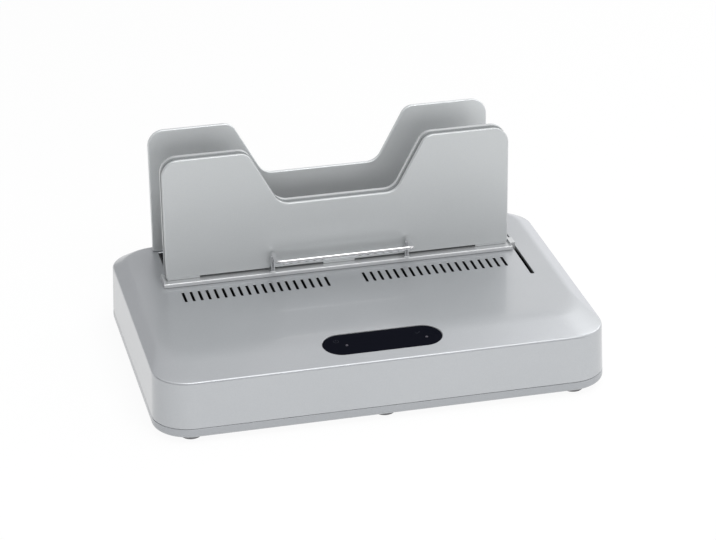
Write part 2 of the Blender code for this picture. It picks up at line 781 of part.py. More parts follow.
def build_top_cover():
    """Make the upper moulding of the housing."""
    low = PARTING + SEAT_GAP
    rim = ring_at(filleted(housing_corners(0.0), CORNER_STEPS), RIM)
    crease = ring_at(filleted(crease_corners(), CORNER_STEPS), DECK)
    rings = [wall_ring(low)]
    for inward, rise in BAND_SHARES:
        ring = [Vector(a).lerp(Vector(b), inward) for a, b in zip(rim, crease)]
        rings.append([(point.x, point.y, RIM + BAND_DROP * rise) for point in ring])
    cover = loft("top_cover", rings, caps=[-1], soft=[1], material="silver_paint")
    thicken(round_edges(cover, RIM_ROUND, RIM_SEGMENTS, by_weight=True), HOUSING_WALL)

    posts = Solids()
    root = POST_ROOT_SHARE * HOUSING_WALL
    for x, y in screw_places():
        posts.post(x, y, BOSS_RADIUS, low, band_height(y) - root)
    for x, y, under in control_post_places():
        posts.post(x, y, CONTROL_POST_RADIUS, under, band_height(y) - root)
    join(cover, posts.made("cover_posts"))

    pilots = Solids()
    for x, y in screw_places():
        pilots.post(x, y, SCREW_SHANK_RADIUS + SEAT_GAP, low - CUT_MARGIN, PARTING + SCREW_LENGTH)
    half = WELL_LENGTH / 2
    well = rectangle(-half, half, WELL_FRONT, WELL_REAR, WELL_CORNER_RADIUS)
    front, rear = guide_slot_ends()
    slot = slot_corners(GUIDE_X, (front + rear) / 2, rear - front, GUIDE_SLOT_WIDTH)
    through = (CEILING - CUT_MARGIN, DECK + CUT_MARGIN, SMALL_STEPS)
    fittings = Solids()
    fittings.box(*rear_box(INLET_OFFSET, INLET_LENGTH, INLET_HEIGHT, SEAT_GAP))
    fittings.box(*rear_box(SWITCH_OFFSET, SWITCH_LENGTH, SWITCH_HEIGHT, SEAT_GAP))
    return cut(cover, pilots.made("pilot_cutter"), vent_cutter(), slab("well_cutter", well, *through),
               slab("guide_slot_cutter", slot, *through),
               lens_sheet("panel_cutter", SEAT_GAP, -LENS_WIDTH / 2, CUT_MARGIN + HOUSING_WALL),
               fittings.made("rear_fitting_cutter"))


def fin_span():
    """Return the front and rear faces of the fin."""
    front = FRONT_PLATE_FACE + FIN_SETBACK
    return front, front + FIN_DEPTH


def guide_slot_ends():
    """Return the front and rear ends of the long slot, set by the fin's travel."""
    front, rear = fin_span()
    return front - PULLED_TRAVEL - LOOSE_GAP, rear + CLOSING_TRAVEL + LOOSE_GAP


def control_board_top():
    """Return the height of the control board's upper face."""
    return band_height(FRONT + LENS_SETBACK) - CONTROL_BOARD_DROP


def control_post_places():
    """Return (x, y, underside) of the four posts that hold the control board under the panel."""
    middle = FRONT + CONTROL_BOARD_SETBACK
    side = CONTROL_BOARD_LENGTH / 2 - CONTROL_POST_INSET
    reach = CONTROL_BOARD_DEPTH / 2 - CONTROL_POST_INSET
    under = control_board_top() + SEAT_GAP
    return [(x, middle + y, under) for x in (-side, side) for y in (-reach, reach)]


def tray_post_places():
    """Return the (x, y) places of the posts under the heater tray."""
    side = WELL_LENGTH / 2 - TRAY_POST_INSET
    reach = WELL_DEPTH / 4
    return [(x, WELL_MIDDLE + y) for x in (-side, side) for y in (-reach, reach)]


def power_post_places():
    """Return the (x, y) places of the posts under the power board."""
    side = POWER_BOARD_LENGTH / 2 - POWER_POST_INSET
    reach = POWER_BOARD_DEPTH / 2 - POWER_POST_INSET
    return [(-POWER_BOARD_OFFSET + x, POWER_BOARD_MIDDLE + y) for x in (-side, side) for y in (-reach, reach)]


def build_bottom_pan():
    """Make the lower moulding: a shallow tray with a tongue, posts and floor slots."""
    pan = loft("bottom_pan", [wall_ring(PAN_UNDERSIDE), wall_ring(PARTING)], caps=[0], soft=[0],
               material="silver_paint")
    thicken(round_edges(pan, PAN_EDGE_ROUND, RIM_SEGMENTS, by_weight=True), HOUSING_WALL)

    root = HOUSING_WALL - JOIN_DEPTH
    seat = HOUSING_WALL + SEAT_GAP
    step = PARTING - TONGUE_HEIGHT
    outer = [wall_ring(FLOOR + JOIN_DEPTH, root), wall_ring(step, root), wall_ring(PARTING, seat),
             wall_ring(PARTING + TONGUE_HEIGHT, seat)]
    join(pan, thicken(loft("pan_tongue", outer, caps=[], soft=[]), TONGUE_WALL))

    low = FLOOR - JOIN_DEPTH
    posts = Solids()
    for x, y in screw_places():
        posts.post(x, y, PAN_BOSS_RADIUS, low, PARTING)
    for x, y in tray_post_places():
        posts.post(x, y, TRAY_POST_RADIUS, low, TRAY_UNDERSIDE - SEAT_GAP)
    for x, y in power_post_places():
        posts.post(x, y, POWER_POST_RADIUS, low, FLOOR + POWER_POST_HEIGHT)
    join(pan, posts.made("pan_posts"))

    under = PAN_UNDERSIDE - CUT_MARGIN
    head_top = PAN_UNDERSIDE + SCREW_SINK + SCREW_HEAD_HEIGHT
    sinks = Solids()
    holes = Solids()
    for x, y in screw_places():
        sinks.post(x, y, SCREW_HEAD_RADIUS + SEAT_GAP, under, head_top + SEAT_GAP)
        holes.post(x, y, SCREW_SHANK_RADIUS + SEAT_GAP, under, PARTING + CUT_MARGIN)
    slot = slot_corners(FLOOR_SLOT_OFFSET, WELL_MIDDLE, FLOOR_SLOT_LENGTH, FLOOR_SLOT_WIDTH)
    slots = slab("floor_slot_cutter", slot, under, FLOOR + CUT_MARGIN, SMALL_STEPS)
    mirror(repeat(slots, FLOOR_SLOTS_PER_SIDE, FLOOR_SLOT_PITCH))
    return cut(pan, sinks.made("counterbore_cutter"), holes.made("clearance_cutter"), slots)


def build_feet():
    """Make the six rubber feet, three along the front and three along the rear."""
    side = HOUSING_LENGTH / 2 - FOOT_SIDE_INSET
    reach = HOUSING_DEPTH / 2 - FOOT_END_INSET
    top = PAN_UNDERSIDE - SEAT_GAP
    profile = [(0.0, top), (FOOT_RADIUS, top), *rounded_end(FOOT_RADIUS, 0.0, FOOT_ROUND, rising=False),
               (FOOT_DIMPLE_RADIUS, 0.0), (FOOT_DIMPLE_RADIUS, FOOT_DIMPLE_DEPTH), (0.0, FOOT_DIMPLE_DEPTH)]
    for row, y in (("front", -reach), ("rear", reach)):
        for column, x in (("left", -side), ("middle", 0.0), ("right", side)):
            turned(f"foot_{row}_{column}", profile, Matrix.Translation((x, y, 0.0)), FOOT_SIDES, "rubber")


def plate_corners(low, distance=0.0):
    """Return a plate's notched outline as (x, z, radius) corners, anticlockwise, inset by a distance."""
    half = PLATE_LENGTH / 2
    high = DECK + PLATE_TOP
    floor = DECK + NOTCH_FLOOR
    mouth = NOTCH_TOP_WIDTH / 2
    base = NOTCH_FLOOR_WIDTH / 2
    corners = [
        (-half, low, PLATE_LOWER_RADIUS),
        (half, low, PLATE_LOWER_RADIUS),
        (half, high, PLATE_SHOULDER_RADIUS),
        (mouth, high, NOTCH_TOP_RADIUS),
        (base, floor, NOTCH_FLOOR_RADIUS),
        (-base, floor, NOTCH_FLOOR_RADIUS),
        (-mouth, high, NOTCH_TOP_RADIUS),
        (-half, high, PLATE_SHOULDER_RADIUS),
    ]
    return inset(corners, distance)


def build_plate(prefix, face, rear, low, edge):
    """Make a plate moulding with a pocket in its rear face, and the sheet that closes the pocket."""
    plate = upright(f"{prefix}_plate", filleted(plate_corners(low), PLATE_STEPS), face, rear, "silver_paint")
    round_edges(plate, edge, EDGE_SEGMENTS)
    margin = PLATE_EDGE_ROUND + PLATE_WALL
    pocket = filleted(plate_corners(low, margin), PLATE_STEPS)
    cut(plate, upright(f"{prefix}_plate_pocket", pocket, face + PLATE_WALL, rear + CUT_MARGIN))
    outline = filleted(plate_corners(low, margin + SEAT_GAP), PLATE_STEPS)
    liner_rear = rear - LINER_RECESS
    liner = upright(f"{prefix}_plate_liner", outline, liner_rear - LINER_THICKNESS, liner_rear, "steel")
    return plate, liner


def build_front_plate():
    """Make the deep sliding plate, with the groove round its edge, its ribs and its pads."""
    face = FRONT_PLATE_FACE
    low = DECK + PLATE_LIFT
    plate, liner = build_plate("front", face, FRONT_PLATE_REAR, low, PLATE_EDGE_ROUND)
    groove_front = face + GROOVE_SETBACK
    groove = upright("plate_groove", filleted(plate_corners(low, -CUT_MARGIN), PLATE_STEPS), groove_front,
                     groove_front + GROOVE_WIDTH)
    core = filleted(plate_corners(low, GROOVE_DEPTH), PLATE_STEPS)
    cut(groove, upright("plate_groove_core", core, face, FRONT_PLATE_REAR))
    cut(plate, groove)

    seat = FRONT_PLATE_REAR - LINER_RECESS - LINER_THICKNESS - SEAT_GAP
    bite = (PLATE_EDGE_ROUND + PLATE_WALL + GROOVE_DEPTH) / 2
    ribs = Solids()
    for place in range(-RIBS_PER_SIDE, RIBS_PER_SIDE + 1):
        x = place * RIB_SPACING
        top = DECK + (NOTCH_FLOOR if abs(x) < NOTCH_FLOOR_WIDTH / 2 else PLATE_TOP) - bite
        ribs.box(x - RIB_WALL / 2, x + RIB_WALL / 2, face + PLATE_WALL / 2, seat, low + bite, top)
    half = PLATE_LENGTH / 2 - PLATE_LOWER_RADIUS
    ends = half - PLATE_END_PAD_LENGTH
    centre = PLATE_CENTRE_PAD_LENGTH / 2
    pad_front = face + PLATE_PAD_SETBACK
    pads = Solids()
    for left, right in ((-half, -ends), (-centre, centre), (ends, half)):
        pads.box(left, right, pad_front, pad_front + PLATE_PAD_DEPTH, STRIP_TOP + SEAT_GAP, low + PLATE_WALL)
    join(plate, ribs.made("plate_ribs"), pads.made("plate_pads"))
    return plate, liner


def build_rear_plate():
    """Make the thin fixed plate, which stands on the deck behind the well."""
    return build_plate("rear", REAR_PLATE_FACE, REAR_PLATE_REAR, DECK + SEAT_GAP, REAR_PLATE_EDGE_ROUND)


def strip(name, half, front, rear, radii):
    """Make a plate's foot strip, with its rear and front upper edges rounded by two radii."""
    low = DECK + SEAT_GAP
    corners = [(front, low, 0.0), (rear, low, 0.0), (rear, STRIP_TOP, radii[0]), (front, STRIP_TOP, radii[1])]
    return rail(name, filleted(corners, SMALL_STEPS), -half, half, "silver_paint")


def build_rear_strip():
    """Make the fixed strip behind the foot of the rear plate, which ends just inside the plate's ends."""
    half = PLATE_LENGTH / 2 - STRIP_END_INSET
    front = REAR_PLATE_REAR + SEAT_GAP
    return strip("rear_foot_strip", half, front, REAR_PLATE_REAR + STRIP_REACH, (STRIP_ROUND, 0.0))


def build_front_carriage():
    """Make the sliding strip under the front plate, with its end lips, ear, fin and bail sockets."""
    half = PLATE_LENGTH / 2 + STRIP_OVERHANG
    front = FRONT_PLATE_FACE - STRIP_REACH
    carriage = strip("front_carriage", half, front, FRONT_PLATE_REAR, (0.0, STRIP_ROUND))
    lips = Solids()
    for left in (-half, half - LIP_WALL):
        lips.box(left, left + LIP_WALL, front + LIP_SETBACK, FRONT_PLATE_REAR - LIP_SETBACK,
                 DECK + SEAT_GAP + JOIN_DEPTH, STRIP_TOP + LIP_HEIGHT)
    join(carriage, lips.made("carriage_lips"))
    fin_front, fin_rear = fin_span()
    inner = half - LIP_WALL
    outer = GUIDE_X + FIN_WALL / 2
    ear = Solids().box(inner, outer, fin_front, fin_rear, DECK + SEAT_GAP, STRIP_TOP)
    fin = Solids().box(outer - FIN_WALL, outer, fin_front, fin_rear, DECK - FIN_REACH, STRIP_TOP - JOIN_DEPTH)
    collars = Solids()
    sockets = Solids()
    y = FRONT_PLATE_FACE - BAIL_STANDOFF
    high = STRIP_TOP + BAIL_COLLAR_HEIGHT
    for x in (-BAIL_LENGTH / 2, BAIL_LENGTH / 2):
        collars.post(x, y, BAIL_COLLAR_RADIUS, STRIP_TOP - JOIN_DEPTH, high, ROUND_SIDES)
        sockets.post(x, y, BAIL_WIRE_RADIUS + SEAT_GAP, STRIP_TOP - BAIL_SOCKET_DEPTH, high + CUT_MARGIN,
                     ROUND_SIDES)
    join(carriage, ear.made("carriage_ear"), fin.made("carriage_fin"), collars.made("bail_collars"))
    return cut(carriage, sockets.made("bail_sockets"))


def build_pull_bail():
    """Make the wire bail that stands in the front strip."""
    half = BAIL_LENGTH / 2
    leg = FRONT_PLATE_FACE - BAIL_STANDOFF
    bar = leg - BAIL_REACH
    low = STRIP_TOP - BAIL_SOCKET_DEPTH + SEAT_GAP
    high = DECK + BAIL_HEIGHT
    points = [(-half, leg, low), (-half, leg, high), (-half, bar, high),
              (half, bar, high), (half, leg, high), (half, leg, low)]
    radii = [BAIL_CROWN_RADIUS, BAIL_BEND_RADIUS, BAIL_BEND_RADIUS, BAIL_CROWN_RADIUS]
    return wire("pull_bail", points, radii, BAIL_WIRE_RADIUS, WIRE_RESOLUTION, WIRE_STEPS, "chrome")


def build_well():
    """Make the liner of the well and the stack of heater parts under it."""
    half = WELL_LENGTH / 2 - SLIDE_GAP
    outer = rectangle(-half, half, WELL_FRONT + SLIDE_GAP, WELL_REAR - SLIDE_GAP, WELL_CORNER_RADIUS)
    flange_top = CEILING - SEAT_GAP
    low = HEATER_TOP + SEAT_GAP
    liner = slab("well_liner", outer, low, DECK - LOOSE_GAP, SMALL_STEPS, "black_plastic")
    flange = slab("well_flange", inset(outer, -WELL_FLANGE_WIDTH), flange_top - WELL_LINER_WALL, flange_top,
                  SMALL_STEPS)
    hollow = slab("well_hollow", inset(outer, WELL_LINER_WALL), low - CUT_MARGIN, DECK + CUT_MARGIN,
                  SMALL_STEPS)
    cut(join(liner, flange), hollow)

    hole = Solids().post(START_PIN_X, WELL_MIDDLE, START_PIN_RADIUS + START_HOLE_GAP,
                         TRAY_UNDERSIDE - CUT_MARGIN, HEATER_TOP + CUT_MARGIN).made("start_pin_cutter")
    corners = inset(outer, HEATER_PLATE_MARGIN)
    cut(slab("heater_plate", corners, HEATER_UNDERSIDE, HEATER_TOP, SMALL_STEPS, "aluminium"), hole)
    build_element(inset(corners, ELEMENT_MARGIN))
    cut(slab("heater_insulation", corners, INSULATION_UNDERSIDE, INSULATION_TOP, SMALL_STEPS, "felt"), hole)
    shell = inset(corners, -SEAT_GAP - TRAY_WALL)
    tray = slab("heater_tray", shell, TRAY_UNDERSIDE, INSULATION_TOP, SMALL_STEPS, "steel")
    cut(tray, slab("tray_hollow", inset(corners, -SEAT_GAP), TRAY_TOP, DECK, SMALL_STEPS), hole)


def build_element(corners):
    """Make the flat heating element, one band folded back and forth by slits cut from either end."""
    front = corners[0][1]
    right, rear = corners[2][:2]
    left = START_PIN_X + ELEMENT_LEG_WIDTH
    band = rectangle(left, right, front, rear, 0.0)
    element = slab("heating_element", band, ELEMENT_UNDERSIDE, ELEMENT_TOP, SMALL_STEPS, "mica")
    slits = Solids()
    step = ELEMENT_LEG_WIDTH + ELEMENT_SLIT
    for index in range(int((rear - front) / step)):
        y = front + ELEMENT_LEG_WIDTH + step * index
        from_left = index % 2 == 0
        start = left - CUT_MARGIN if from_left else left + ELEMENT_LEG_WIDTH
        end = right - ELEMENT_LEG_WIDTH if from_left else right + CUT_MARGIN
        slits.box(start, end, y, y + ELEMENT_SLIT, ELEMENT_UNDERSIDE - CUT_MARGIN, ELEMENT_TOP + CUT_MARGIN)
    return cut(element, slits.made("element_slit_cutter"))


def build_start_switch():
    """Make the start switch under the tray and the pin that stands up into the well."""
    high = TRAY_UNDERSIDE - SEAT_GAP
    low = high - START_BODY_HEIGHT
    side = START_BODY_LENGTH / 2
    reach = START_BODY_DEPTH / 2
    body = Solids().box(START_PIN_X - side, START_PIN_X + side, WELL_MIDDLE - reach, WELL_MIDDLE + reach, low,
                        high)
    bore = Solids().post(START_PIN_X, WELL_MIDDLE, START_PIN_RADIUS + START_HOLE_GAP, low + START_BODY_FLOOR,
                         high + CUT_MARGIN)
    cut(body.made("start_switch", "black_plastic"), bore.made("start_bore_cutter"))
    foot = low + START_BODY_FLOOR + START_PIN_TRAVEL + LOOSE_GAP
    length = HEATER_TOP + START_PIN_RISE - foot
    profile = [(0.0, length), *rounded_end(START_PIN_RADIUS, length, START_PIN_ROUND, rising=True),
               (START_PIN_RADIUS, 0.0), (0.0, 0.0)]
    turned("start_pin", profile, Matrix.Translation((START_PIN_X, WELL_MIDDLE, foot)), SMALL_SIDES,
           "black_plastic")


def build_limiters():
    """Make the thermostat and the thermal fuse under the tray."""
    high = TRAY_UNDERSIDE - SEAT_GAP
    shoulder = THERMOSTAT_HEIGHT - THERMOSTAT_CAP_HEIGHT
    profile = [(0.0, THERMOSTAT_HEIGHT), (THERMOSTAT_CAP_RADIUS, THERMOSTAT_HEIGHT),
               (THERMOSTAT_CAP_RADIUS, shoulder), (THERMOSTAT_RADIUS, shoulder), (THERMOSTAT_RADIUS, 0.0),
               (0.0, 0.0)]
    place = Matrix.Translation((THERMOSTAT_OFFSET, WELL_MIDDLE, high - THERMOSTAT_HEIGHT))
    turned("thermostat", profile, place, ROUND_SIDES, "black_plastic")
    half = FUSE_LENGTH / 2
    end = half + FUSE_LEG_LENGTH
    profile = [(0.0, end), (FUSE_LEG_RADIUS, end), (FUSE_LEG_RADIUS, half), (FUSE_RADIUS, half),
               (FUSE_RADIUS, -half), (FUSE_LEG_RADIUS, -half), (FUSE_LEG_RADIUS, -end), (0.0, -end)]
    lying = Matrix.Rotation(math.radians(90), 4, "Y")
    place = Matrix.Translation((FUSE_OFFSET, WELL_MIDDLE, high - FUSE_RADIUS)) @ lying
    turned("thermal_fuse", profile, place, SMALL_SIDES, "steel")


def build_guide():
    """Make the guide rod, its two brackets and the shoe that the fin drives."""
    fin_front, fin_rear = fin_span()
    middle = (fin_front + fin_rear) / 2
    shoe_front = middle - SHOE_LENGTH / 2
    shoe_rear = middle + SHOE_LENGTH / 2
    front_face = shoe_front - PULLED_TRAVEL - SHOE_RUN_GAP
    rear_face_y = shoe_rear + CLOSING_TRAVEL + SHOE_RUN_GAP
    rod_start = front_face - BRACKET_WALL - ROD_END_REACH
    rod_end = rear_face_y + BRACKET_WALL + ROD_END_REACH
    Solids().rod(GUIDE_X, ROD_HEIGHT, ROD_RADIUS, rod_start, rod_end).made("guide_rod", "steel")
    bore = Solids().rod(GUIDE_X, ROD_HEIGHT, ROD_RADIUS + SEAT_GAP, rod_start - BRACKET_FOOT_DEPTH,
                        rod_end + BRACKET_FOOT_DEPTH).made("guide_bore_cutter")

    half = BRACKET_WIDTH / 2
    left = GUIDE_X - half
    right = GUIDE_X + half
    low = FLOOR + SEAT_GAP
    top = ROD_HEIGHT + half
    crown = half - WELD_DISTANCE
    corners = [(left, low, 0.0), (right, low, 0.0), (right, top, crown), (left, top, crown)]
    for name, near, side in (("front", front_face, -1), ("rear", rear_face_y, 1)):
        wall = sorted((near, near + side * BRACKET_WALL))
        bracket = upright(f"rod_bracket_{name}", filleted(corners, PLATE_STEPS), *wall, "steel")
        foot = Solids().box(left, right, *sorted((near, near + side * BRACKET_FOOT_DEPTH)), low,
                            low + BRACKET_FOOT_WALL)
        cut(join(bracket, foot.made(f"bracket_foot_{name}")), bore)

    shoe_low = ROD_HEIGHT - ROD_RADIUS - SHOE_WALL
    shoe_high = DECK - FIN_REACH + SHOE_WALL
    section = rectangle(GUIDE_X - SHOE_WIDTH / 2, GUIDE_X + SHOE_WIDTH / 2, shoe_low, shoe_high, SHOE_CHAMFER)
    shoe = upright("slide_shoe", filleted(section, 1), shoe_front, shoe_rear, "black_plastic")
    side = FIN_WALL / 2 + SEAT_GAP
    pocket = Solids().box(GUIDE_X - side, GUIDE_X + side, fin_front - SEAT_GAP, fin_rear + SEAT_GAP,
                          DECK - FIN_REACH - SEAT_GAP, shoe_high + CUT_MARGIN)
    return cut(shoe, bore, pocket.made("fin_pocket_cutter"))


def light_places():
    """Return (name, x, y) of the two indicator lights in the plane of the lens."""
    return (("indicator_left", -LIGHT_LEFT_OFFSET, -LIGHT_LEFT_DROP),
            ("indicator_right", LIGHT_RIGHT_OFFSET, LIGHT_RIGHT_RISE))


def build_panel():
    """Make the dark lens in the front band, its two light pipes and the board behind it."""
    top = -LENS_SINK
    under = -HOUSING_WALL - LENS_FLANGE_DROP
    lens = lens_sheet("panel_lens", 0.0, under - JOIN_DEPTH, top, "lens")
    round_edges(lens, LENS_EDGE_ROUND, EDGE_SEGMENTS)
    join(lens, lens_sheet("lens_flange", LENS_FLANGE_WIDTH, under - LENS_FLANGE_THICKNESS, under))
    place = lens_frame()
    pipe_top = top + LIGHT_PROUD
    high = control_board_top()
    chips = Solids()
    holes = Solids()
    for name, x, y in light_places():
        profile = [(0.0, LIGHT_LENGTH), (LIGHT_RADIUS, LIGHT_LENGTH), (LIGHT_RADIUS, 0.0), (0.0, 0.0)]
        foot = place @ Matrix.Translation((x, y, pipe_top - LIGHT_LENGTH))
        turned(name, profile, foot, SMALL_SIDES, "light")
        holes.cylinder(foot, LIGHT_RADIUS + SEAT_GAP, 0.0, LIGHT_LENGTH + CUT_MARGIN, SMALL_SIDES)
        end = foot.translation
        side = CONTROL_LED_LENGTH / 2
        tip = end.z - SEAT_GAP - LIGHT_RADIUS * BAND_DROP / BAND_FRONT_WIDTH
        chips.box(end.x - side, end.x + side, end.y - side, end.y + side, high - JOIN_DEPTH, tip)
    cut(lens, holes.made("light_hole_cutter"))

    middle = FRONT + CONTROL_BOARD_SETBACK
    half = CONTROL_BOARD_LENGTH / 2
    reach = CONTROL_BOARD_DEPTH / 2
    board = Solids().box(-half, half, middle - reach, middle + reach, high - BOARD_WALL, high)
    chips.box(-CONTROL_CHIP_LENGTH / 2, CONTROL_CHIP_LENGTH / 2, middle - CONTROL_CHIP_DEPTH / 2,
              middle + CONTROL_CHIP_DEPTH / 2, high - JOIN_DEPTH, high + CONTROL_CHIP_HEIGHT)
    join(board.made("control_board", "board"), chips.made("control_chips"))


def build_power_board():
    """Make the power board with its relay, capacitor and heat sink."""
    low = FLOOR + POWER_POST_HEIGHT + SEAT_GAP
    high = low + BOARD_WALL
    middle = POWER_BOARD_MIDDLE
    left = -POWER_BOARD_OFFSET - POWER_BOARD_LENGTH / 2
    right = left + POWER_BOARD_LENGTH
    front = middle - POWER_BOARD_DEPTH / 2
    rear = middle + POWER_BOARD_DEPTH / 2
    Solids().box(left, right, front, rear, low, high).made("power_board", "board")
    base = high + SEAT_GAP
    edge = 2 * POWER_POST_INSET
    relay = Solids().box(left + edge, left + edge + RELAY_LENGTH, rear - edge - RELAY_DEPTH, rear - edge,
                         base, base + RELAY_HEIGHT)
    round_edges(relay.made("power_relay", "black_plastic"), RELAY_EDGE_ROUND, 1)
    shoulder = rounded_end(CAPACITOR_RADIUS, CAPACITOR_HEIGHT, CAPACITOR_ROUND, rising=True)
    profile = [(0.0, CAPACITOR_HEIGHT), *shoulder, (CAPACITOR_RADIUS, 0.0), (0.0, 0.0)]
    turned("power_capacitor", profile, Matrix.Translation((-POWER_BOARD_OFFSET, middle, base)), ROUND_SIDES,
           "aluminium")
    sink_right = right - edge
    sink_left = sink_right - HEAT_SINK_LENGTH
    reach = HEAT_SINK_DEPTH / 2
    sink = Solids().box(sink_left, sink_right, middle - reach, middle + reach, base, base + HEAT_SINK_HEIGHT)
    count = int(HEAT_SINK_LENGTH / (2 * HEAT_SINK_FIN_WALL))
    pitch = (HEAT_SINK_LENGTH - HEAT_SINK_FIN_WALL) / count
    start = sink_left + HEAT_SINK_FIN_WALL
    gap = Solids().box(start, start + pitch - HEAT_SINK_FIN_WALL, middle - reach - CUT_MARGIN,
                       middle + reach - HEAT_SINK_BASE, base - CUT_MARGIN,
                       base + HEAT_SINK_HEIGHT + CUT_MARGIN)
    cut(sink.made("heat_sink", "aluminium"), repeat(gap.made("heat_sink_cutter"), count, pitch))


def rear_box(offset, length, height, gap):
    """Return the six planes of a box through the rear wall round one fitting."""
    side = length / 2 + gap
    rise = height / 2 + gap
    return (-offset - side, -offset + side, REAR - 2 * HOUSING_WALL, REAR + WALL_DRAFT + CUT_MARGIN,
            FITTING_MIDDLE - rise, FITTING_MIDDLE + rise)


def rear_face():
    """Return the depth of the faces of the rear fittings."""
    return REAR + wall_growth(FITTING_MIDDLE) - REAR_FITTING_SINK


def fitting_body(name, offset, length, height, depth):
    """Make a rear fitting's body with the flange that holds it inside the wall."""
    face = rear_face()
    side = length / 2
    rise = height / 2
    body = Solids().box(-offset - side, -offset + side, face - depth, face, FITTING_MIDDLE - rise,
                        FITTING_MIDDLE + rise)
    flange_rear = REAR - HOUSING_WALL - SEAT_GAP
    side += INLET_FLANGE_WIDTH
    rise += INLET_FLANGE_WIDTH
    flange = Solids().box(-offset - side, -offset + side, flange_rear - INLET_FLANGE_WALL, flange_rear,
                          FITTING_MIDDLE - rise, FITTING_MIDDLE + rise)
    return join(body.made(name, "black_plastic"), flange.made(f"{name}_flange"))


def build_inlet():
    """Make the mains inlet with its three pins."""
    face = rear_face()
    inlet = fitting_body("power_inlet", INLET_OFFSET, INLET_LENGTH, INLET_HEIGHT, INLET_DEPTH)
    left = -INLET_OFFSET - INLET_SOCKET_LENGTH / 2
    right = -INLET_OFFSET + INLET_SOCKET_LENGTH / 2
    low = FITTING_MIDDLE - INLET_SOCKET_HEIGHT / 2
    high = FITTING_MIDDLE + INLET_SOCKET_HEIGHT / 2
    corner = INLET_SOCKET_CHAMFER
    outline = [(left, low), (right, low), (right, high - corner), (right - corner, high),
               (left + corner, high), (left, high - corner)]
    floor = face - INLET_SOCKET_DEPTH
    cut(inlet, upright("inlet_socket_cutter", outline, floor, face + CUT_MARGIN))
    places = (("line", -INLET_PIN_SPACING, -INLET_EARTH_RISE / 2), ("earth", 0.0, INLET_EARTH_RISE / 2),
              ("neutral", INLET_PIN_SPACING, -INLET_EARTH_RISE / 2))
    for name, across, rise in places:
        x = -INLET_OFFSET + across
        z = FITTING_MIDDLE + rise
        root = floor + SEAT_GAP
        pin = Solids().box(x - INLET_PIN_WALL / 2, x + INLET_PIN_WALL / 2, root, root + INLET_PIN_LENGTH,
                           z - INLET_PIN_WIDTH / 2, z + INLET_PIN_WIDTH / 2)
        pin.made(f"inlet_pin_{name}", "brass")


def build_switch():
    """Make the power switch frame and the rocker, which rests tipped to one side."""
    face = rear_face()
    frame = fitting_body("switch_frame", SWITCH_OFFSET, SWITCH_LENGTH, SWITCH_HEIGHT, SWITCH_DEPTH)
    side = SWITCH_WELL_LENGTH / 2
    rise = SWITCH_WELL_HEIGHT / 2
    well = Solids().box(-SWITCH_OFFSET - side, -SWITCH_OFFSET + side, face - SWITCH_WELL_DEPTH,
                        face + CUT_MARGIN, FITTING_MIDDLE - rise, FITTING_MIDDLE + rise)
    cut(frame, well.made("switch_well_cutter"))
    end = ROCKER_LENGTH / 2
    belly = ROCKER_BELLY_LENGTH / 2
    profile = [(-end, ROCKER_FLANK), (-belly, -ROCKER_BELLY), (belly, -ROCKER_BELLY), (end, ROCKER_FLANK),
               (end, ROCKER_CROWN), (0.0, ROCKER_VALLEY), (-end, ROCKER_CROWN)]
    pivot = Matrix.Translation((-SWITCH_OFFSET, face - ROCKER_PIVOT_SINK, FITTING_MIDDLE))
    tilt = Matrix.Rotation(math.radians(-ROCKER_TILT_DEGREES), 4, "Z")
    sheet("switch_rocker", profile, ROCKER_HEIGHT, pivot @ tilt, "black_plastic")


def build_screws():
    """Make the six case screws, heads down in the counterbores of the pan."""
    flat = SCREW_HEAD_RADIUS * HEAD_FLAT_SHARE
    side = SCREW_HEAD_HEIGHT * HEAD_SIDE_SHARE
    profile = [(0.0, SCREW_LENGTH), (SCREW_SHANK_RADIUS, SCREW_LENGTH),
               (SCREW_SHANK_RADIUS, SCREW_HEAD_HEIGHT), (SCREW_HEAD_RADIUS, SCREW_HEAD_HEIGHT),
               (SCREW_HEAD_RADIUS, side), (flat, 0.0), (0.0, 0.0)]
    low = PAN_UNDERSIDE + SCREW_SINK
    slots = Solids()
    for x, y in screw_places():
        reach = SCREW_HEAD_RADIUS + CUT_MARGIN
        slots.box(x - reach, x + reach, y - SCREW_SLOT_WIDTH / 2, y + SCREW_SLOT_WIDTH / 2, low - CUT_MARGIN,
                  low + SCREW_SLOT_DEPTH)
    cutter = slots.made("screw_slot_cutter")
    for index, (x, y) in enumerate(screw_places(), start=1):
        screw = turned(f"case_screw_{index}", profile, Matrix.Translation((x, y, low)), SMALL_SIDES, "steel")
        cut(screw, cutter)


def over_board(x, run, rise, end, board_top):
    """Return the points of a lead that climbs over the rear edge of the power board and lands on it."""
    over = board_top + LEAD_CLIMB
    return [(x, rise, run), (x, rise, over), (x, end, over), (x, end, board_top)]


